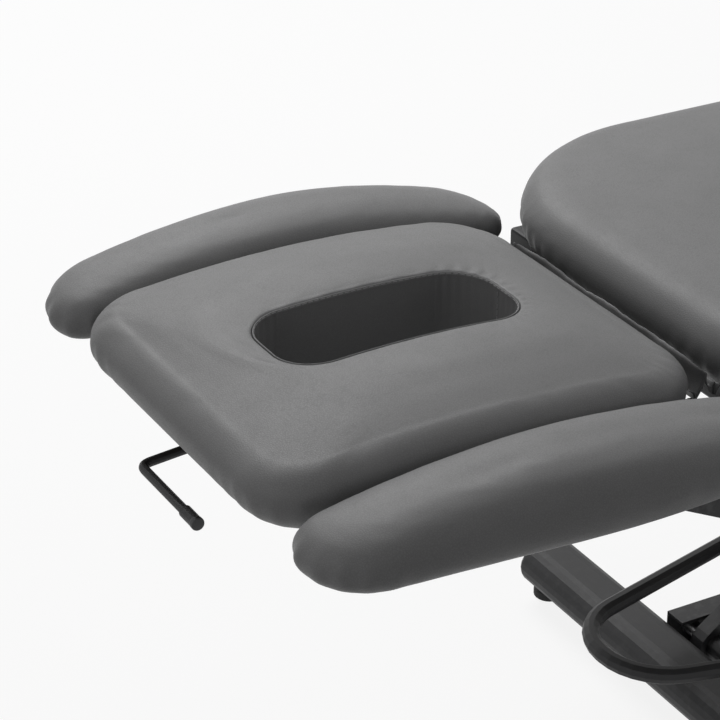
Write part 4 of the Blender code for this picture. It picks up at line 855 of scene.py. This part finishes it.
def calm(obj, values, rounds):
    """Values on the mesh's points, each evened out with its neighbours a number of times."""
    mesh = obj.data
    pairs = np.empty(len(mesh.edges) * 2, dtype=np.int32)
    mesh.edges.foreach_get("vertices", pairs)
    ends = np.concatenate([pairs.reshape(-1, 2), pairs.reshape(-1, 2)[:, ::-1]])
    count = np.maximum(np.bincount(ends[:, 0], minlength=len(values)), 1)
    for _ in range(rounds):
        near = [np.bincount(ends[:, 0], weights=values[ends[:, 1], k], minlength=len(values))
                for k in range(3)]
        values = 0.5 * values + 0.5 * np.stack(near, axis=1) / count[:, None]
    return values


def stitches(name, line, length):
    """Short domed stitches along a closed or open line of points, with gaps between them."""
    gap, radius = length * 0.45, 0.00045
    path = np.array(line)
    steps = np.linalg.norm(np.diff(path, axis=0), axis=1)
    along = np.concatenate([[0], np.cumsum(steps)])
    bars = []
    start = gap / 2
    while start + length < along[-1]:
        stops = np.linspace(start, start + length, 4)
        points = [tuple(np.interp(s, along, path[:, k]) for k in range(3)) for s in stops]
        bars.append(tube(points, radius, 6))
        start += length + gap
    return joined(name, bars, "thread")


# The gaiter's section from the end section to the body: (share of the gap, share of the fold's height)
GAITER_FOLDS = ((0.0, 0.42), (0.10, 0.30), (0.22, 0.02), (0.30, 0.25), (0.44, 0.90), (0.50, 1.0),
                (0.55, 0.88), (0.63, 0.38), (0.68, 0.40), (0.73, 0.58), (0.78, 0.40), (0.86, 0.03),
                (0.93, 0.25), (1.0, 0.42))

# How much shorter the gaiter is at each end than its CAD solid
GAITER_SHORT = 0.019


def gaiter(name, low, high, turned_round):
    """A thin folded sheet across the gap, its outer edges against the pads, with uneven pleats."""
    down = 81
    shares = np.linspace(0, 1, 43)
    folds = np.interp(shares, *zip(*GAITER_FOLDS))
    folds = np.convolve(np.pad(folds, 1, mode="edge"), (0.22, 0.56, 0.22), "valid")
    valley, crest = low.z + 0.002, high.z + 0.002
    half = high.y - GAITER_SHORT
    bm = bmesh.new()
    grid = []
    for j in range(down):
        v = -1 + 2 * j / (down - 1)
        row = []
        for u, fold in zip(shares, folds):
            loose = math.sin(math.pi * u)
            wander = 0.0024 * noise.noise(Vector((fold * 1.5, v * 4, 4.0))) * loose
            sag = 0.10 * noise.noise(Vector((u * 2, v * 2.2, 1.0)))
            ripple = 0.0010 * noise.noise(Vector((u * 5, v * 24, 2.0)))
            end = 0.0030 * loose * abs(v) ** 14 * math.sin(u * 19)
            lift = fold * (1 + sag * loose) - 0.05 * abs(v) ** 10 * fold
            height = valley + (crest - valley) * lift + ripple
            x = low.x + (high.x - low.x) * (1 - u if turned_round else u)
            row.append(bm.verts.new((x + wander + end, half * v, height)))
        grid.append(row)
    for near, far in zip(grid, grid[1:]):
        for i in range(len(shares) - 1):
            bm.faces.new((near[i], near[i + 1], far[i + 1], far[i]))
    obj = solid(name, bm, "gaiter", 80)
    reshape(obj, "SOLIDIFY", thickness=0.0011, offset=0)
    return obj


# ---------------------------------------------------------------- operators

class MASSAGE_OT_head_cushion(bpy.types.Operator):
    """The head section's pad with its lined and stitched face slot"""
    bl_idname = "massage.head_cushion"
    bl_label = "Head Cushion"

    def execute(self, context):
        pad = Pad("head_cushion", slotted=True)
        cover = pad.make()
        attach(cover, "head_section")
        rim = pad.slot_line(-0.0019, pad.FINE_POINTS)
        rim = np.vstack([rim, rim[:1]])
        line = [(x, y, pad.rim_height(x) - 0.0010) for x, y in rim]
        stitch = context.scene.massage_pads.stitch
        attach(stitches("slot_rim_stitching", line, stitch), "head_section")
        wall = pad.slot_line(-0.0012, pad.FINE_POINTS)
        spot = wall[np.argmin(np.linalg.norm(wall - (pad.high.x - SLOT["from_end"], 0.010), axis=1))]
        top = pad.rim_height(spot[0]) - 0.005
        seam = [(spot[0], spot[1], top - 0.050 * share) for share in np.linspace(0, 1, 12)]
        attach(stitches("slot_wall_seam", seam, stitch), "head_section")
        return {"FINISHED"}


class MASSAGE_OT_body_cushions(bpy.types.Operator):
    """The long pads under the body and the legs"""
    bl_idname = "massage.body_cushions"
    bl_label = "Body Cushions"

    def execute(self, context):
        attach(Pad("main_cushion").make(), "top_frame")
        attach(Pad("leg_cushion").make(), "leg_section")
        return {"FINISHED"}


class MASSAGE_OT_armrest_cushions(bpy.types.Operator):
    """The two arched arm pads beside the head section"""
    bl_idname = "massage.armrest_cushions"
    bl_label = "Armrest Cushions"

    def execute(self, context):
        for side in SIDES:
            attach(Pad("armrest_cushion_" + side).make(), "armrest_" + side)
        return {"FINISHED"}


class MASSAGE_OT_gaiters(bpy.types.Operator):
    """The pleated vinyl that closes the gaps between the sections"""
    bl_idname = "massage.gaiters"
    bl_label = "Gaiters"

    def execute(self, context):
        for section in ("head", "leg"):
            node = section + "_gaiter"
            low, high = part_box(node)
            obj = gaiter(node + "_vinyl", low, high, section == "leg")
            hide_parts(node)
            height = (low.z + high.z) / 2
            ends = [(low.x + 0.004, 0, height), (high.x - 0.004, 0, height)]
            if section == "head":
                ends.reverse()
            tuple(ends[0])
            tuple(ends[1])
            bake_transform(obj)
        return {"FINISHED"}


class MASSAGE_OT_metalwork(bpy.types.Operator):
    """Coating, ground steel, nylon and plastics on the carried-over pieces, with rounded edges"""
    bl_idname = "massage.metalwork"
    bl_label = "Metalwork"

    FINISH_OF_SLOT = {"plywood": "wood", "rubber": "rubber", "steel": "steel", "nylon": "nylon",
                      "plastic": "plastic", "coated_steel": "coat"}

    def execute(self, context):
        edge = context.scene.massage_metal.edge
        for entry in frame["record"]["subparts"]:
            finish = self.FINISH_OF_SLOT.get(entry["material_slot"])
            if finish is None:
                continue
            obj = NODES[entry["node"]]
            obj.data.materials.clear()
            obj.data.materials.append(surface(finish))
            modifier(obj, "weld", "WELD", merge_threshold=1e-5)
            modifier(obj, "flat", "DECIMATE", decimate_type="DISSOLVE", angle_limit=math.radians(1.5))
            modifier(obj, "edges", "BEVEL", width=edge, segments=2, limit_method="ANGLE",
                     angle_limit=math.radians(32), harden_normals=True)
        return {"FINISHED"}


class MASSAGE_OT_fasteners(bpy.types.Operator):
    """Retaining rings, bolts, end plugs and hand grips that finish the mechanism"""
    bl_idname = "massage.fasteners"
    bl_label = "Fasteners"

    def ring(self, name, body, place, axis, radius):
        """A spring retaining ring and washer at a shaft's end."""
        washer = turned(place, axis,
                        [(0, radius * 1.35), (0.0009, radius * 1.42), (0.0016, radius * 1.35)])
        centre = Vector(place) + Vector(axis) * 0.0016
        clip = turned(centre, axis,
                      [(0, radius * 1.16), (0.0012, radius * 1.16), (0.0013, radius * 1.05)], 24)
        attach(joined(name, [washer, clip], "zinc"), body)

    def execute(self, context):
        bodies = {node: obj["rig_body"] for node, obj in NODES.items()}
        for shaft, radius in (("base_pivot_shaft", 0.010), ("top_pivot_shaft", 0.010),
                              ("centre_pivot_shaft", 0.010), ("head_hinge_shaft", 0.008),
                              ("leg_hinge_shaft", 0.008)):
            low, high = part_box(shaft)
            for side, sign in SIDES.items():
                place = ((low.x + high.x) / 2, sign * (high.y - 0.0032), (low.z + high.z) / 2)
                self.ring(f"{shaft}_ring_{side}", bodies[shaft], place, (0, sign, 0), radius)
        for place in ("front", "rear"):
            node = place + "_cross_foot"
            low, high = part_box(node)
            middle = Vector(((low.x + high.x) / 2, 0, (low.z + high.z) / 2))
            for side, sign in SIDES.items():
                self.foot_plug(f"{place}_foot_plug_{side}", middle, low, high, sign)
        for section, way in (("head", -1), ("leg", 1)):
            self.grip(section, way)
        self.box_screws()
        return {"FINISHED"}

    def foot_plug(self, name, middle, low, high, sign):
        """The moulded plug in the open end of a cross foot."""
        half_height = (high.z - low.z) / 2 - 0.0065
        reach = (high.x - low.x) / 2 - 0.0065 - half_height
        rings = []
        for out, scale in ((0.0, 1.0), (0.0014, 1.0), (0.0026, 0.93), (0.0030, 0.80)):
            outline = (arc((reach, 0), half_height * scale, -math.pi / 2, math.pi / 2, 14)
                       + arc((-reach, 0), half_height * scale, math.pi / 2, 3 * math.pi / 2, 14))
            y = sign * (high.y - 0.0006 + out)
            rings.append([(middle.x + x, y, middle.z + z) for x, z in outline])
        plug = loft(name, rings)
        plug.data.materials.append(surface("plastic"))
        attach(plug, "base")

    def grip(self, section, way):
        """The moulded button on the free end of a release lever."""
        low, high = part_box(section + "_release_lever")
        x = (low.x if way < 0 else high.x) - way * 0.0065
        z = low.z + 0.0065
        profile = [(0, 0.0050), (0.002, 0.0054), (0.007, 0.0060), (0.011, 0.0067), (0.0145, 0.0068),
                   (0.0155, 0.0064), (0.0158, 0.0056)]
        cap = turned((x, low.y + 0.0155, z), (0, -1, 0), profile, 28)
        obj = joined(section + "_lever_button", [cap], "plastic", 35)
        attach(obj, section + "_lever")

    def box_screws(self):
        """The lid's screws and ribs under the control box."""
        low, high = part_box("control_box")
        head = [(0, 0.0042), (0.0014, 0.0040), (0.0022, 0.0026)]
        screws = [turned((x, y, low.z + 0.0004), (0, 0, -1), head, 20)
                  for x in (low.x + 0.014, high.x - 0.014) for y in (low.y + 0.014, high.y - 0.014)]
        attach(joined("control_box_screws", screws, "zinc"), "top_frame")
        ribs = []
        for k in range(6):
            x = low.x + 0.045 + 0.020 * k
            ribs.append(tube([(x, low.y + 0.030, low.z - 0.0004),
                              (x, (low.y + high.y) / 2, low.z - 0.0006),
                              (x, high.y - 0.030, low.z - 0.0004)], 0.0022, 8))
        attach(joined("control_box_ribs", ribs, "plastic"), "top_frame")


class MASSAGE_OT_stage(bpy.types.Operator):
    """Pale floor, soft studio light and the camera"""
    bl_idname = "massage.stage"
    bl_label = "Studio"

    # Name, place, diameter and share of the key lamp's power. All point at AIM
    LAMPS = (("overhead_lamp", (-0.2, 2.3, 3.0), 2.4, 1.0), ("left_lamp", (-3.4, -0.4, 1.4), 1.8, 0.14),
             ("right_lamp", (2.6, -2.4, 1.6), 1.6, 0.06))
    AIM = (-0.3, 0.0, 0.5)
    FLOOR_REACH = 14

    # Distances from the table's middle between which the floor turns plain white
    FADE = (1.2, 4.5)

    def lamp(self, name, place, size, power):
        light = configure(bpy.data.lights.new(name, "AREA"), shape="DISK", size=size, energy=power)
        obj = link(bpy.data.objects.new(name, light))
        obj.location = place
        obj.rotation_euler = (Vector(self.AIM) - Vector(place)).to_track_quat("-Z", "Y").to_euler()

    def execute(self, context):
        scene = context.scene
        settings = scene.massage_stage
        bm = bmesh.new()
        bmesh.ops.create_grid(bm, x_segments=24, y_segments=24, size=self.FLOOR_REACH)
        floor = solid("studio_floor", bm)
        floor.data.materials.append(self.floor(settings))
        self.world(scene, settings)
        for name, place, size, share in self.LAMPS:
            self.lamp(name, place, size, settings.key * share)
        camera = configure(bpy.data.cameras.new("photo_camera"), lens=settings.lens,
                           sensor_width=36.0, clip_end=60)
        obj = link(bpy.data.objects.new("photo_camera", camera))
        obj.location = settings.view_from
        level = math.cos(settings.pitch)
        ahead = Vector((level * math.cos(settings.heading),
                        level * math.sin(settings.heading),
                        -math.sin(settings.pitch)))
        obj.rotation_euler = ahead.to_track_quat("-Z", "Y").to_euler()
        scene.camera = obj
        scene.view_settings.view_transform = "Standard"
        return {"FINISHED"}

    def seen(self, tree):
        """1 where the camera, a reflection or glass looks straight at the surface, and 0 elsewhere."""
        path = tree.nodes.new("ShaderNodeLightPath")
        total = path.outputs["Is Camera Ray"]
        for ray in ("Is Glossy Ray", "Is Transmission Ray"):
            either = tree.nodes.new("ShaderNodeMath")
            either.operation = "MAXIMUM"
            tree.links.new(total, either.inputs[0])
            tree.links.new(path.outputs[ray], either.inputs[1])
            total = either.outputs[0]
        return total

    def mixed(self, tree, share, first, second):
        """A shader between two shaders."""
        node = tree.nodes.new("ShaderNodeMixShader")
        tree.links.new(share, node.inputs[0])
        tree.links.new(first, node.inputs[1])
        tree.links.new(second, node.inputs[2])
        return node.outputs[0]

    def floor(self, settings):
        """Pale where it is looked at, with the table's shadow on it, and darker as a source of light.

        Away from the table it fades into the white around it, so its edge doesn't show.
        """
        finish = Finish("studio_floor")
        tree = finish.tree
        tree.nodes.remove(finish.shader)
        from_table = finish.add("ShaderNodeVectorMath", {"operation": "LENGTH"}, {0: finish.place()},
                                "Value")
        glow = from_table.between(*self.FADE) * (1 - settings.glow) + settings.glow
        shaders = []
        for kind, colour in (("ShaderNodeBsdfDiffuse", settings.floor),
                             ("ShaderNodeEmission", (1, 1, 1)),
                             ("ShaderNodeBsdfDiffuse", [settings.ground] * 3)):
            node = tree.nodes.new(kind)
            node.inputs["Color"].default_value = (*colour, 1)
            shaders.append(node.outputs[0])
        pale = self.mixed(tree, glow.socket, shaders[0], shaders[1])
        whole = self.mixed(tree, self.seen(tree), shaders[2], pale)
        tree.links.new(whole, tree.nodes["Material Output"].inputs["Surface"])
        return finish.material

    def world(self, scene, settings):
        """White where the camera or a reflection sees it, and an even soft light elsewhere."""
        world = bpy.data.worlds.new("studio")
        world.use_nodes = True
        scene.world = world
        tree = world.node_tree
        white = tree.nodes["Background"]
        soft = tree.nodes.new("ShaderNodeBackground")
        for node, strength in ((white, 1.0), (soft, settings.room)):
            node.inputs["Color"].default_value = (1, 1, 1, 1)
            node.inputs["Strength"].default_value = strength
        whole = self.mixed(tree, self.seen(tree), soft.outputs[0], white.outputs[0])
        tree.links.new(whole, tree.nodes["World Output"].inputs["Surface"])


class MASSAGE_PT_table(bpy.types.Panel):
    """The table's settings, and a button for each group of its pieces"""
    bl_label = "Massage Table"
    bl_idname = "MASSAGE_PT_table"
    bl_space_type = "VIEW_3D"
    bl_region_type = "UI"
    bl_category = "Massage Table"

    def draw(self, context):
        layout = self.layout
        for group, (_, title) in SETTINGS.items():
            box = layout.box()
            box.label(text=title)
            settings = getattr(context.scene, group)
            for name in settings.__annotations__:
                box.prop(settings, name)
        for operator in OPERATORS:
            layout.operator(operator.bl_idname)


OPERATORS = (MASSAGE_OT_head_cushion, MASSAGE_OT_body_cushions, MASSAGE_OT_armrest_cushions,
             MASSAGE_OT_gaiters, MASSAGE_OT_metalwork, MASSAGE_OT_fasteners, MASSAGE_OT_stage)
SETTINGS = {"massage_pads": (MassagePadSettings, "Pads"),
            "massage_metal": (MassageMetalSettings, "Metal"),
            "massage_stage": (MassageStageSettings, "Studio")}
CLASSES = (*[kind for kind, _ in SETTINGS.values()], *OPERATORS, MASSAGE_PT_table)


def register():
    for made in CLASSES:
        bpy.utils.register_class(made)
    for group, (kind, _) in SETTINGS.items():
        setattr(bpy.types.Scene, group, bpy.props.PointerProperty(type=kind))


def unregister():
    for group in SETTINGS:
        delattr(bpy.types.Scene, group)
    for made in reversed(CLASSES):
        bpy.utils.unregister_class(made)


def main():
    register()
    for operator in OPERATORS:
        group, name = operator.bl_idname.split(".")
        getattr(getattr(bpy.ops, group), name)()


if __name__ == "__main__":
    main()
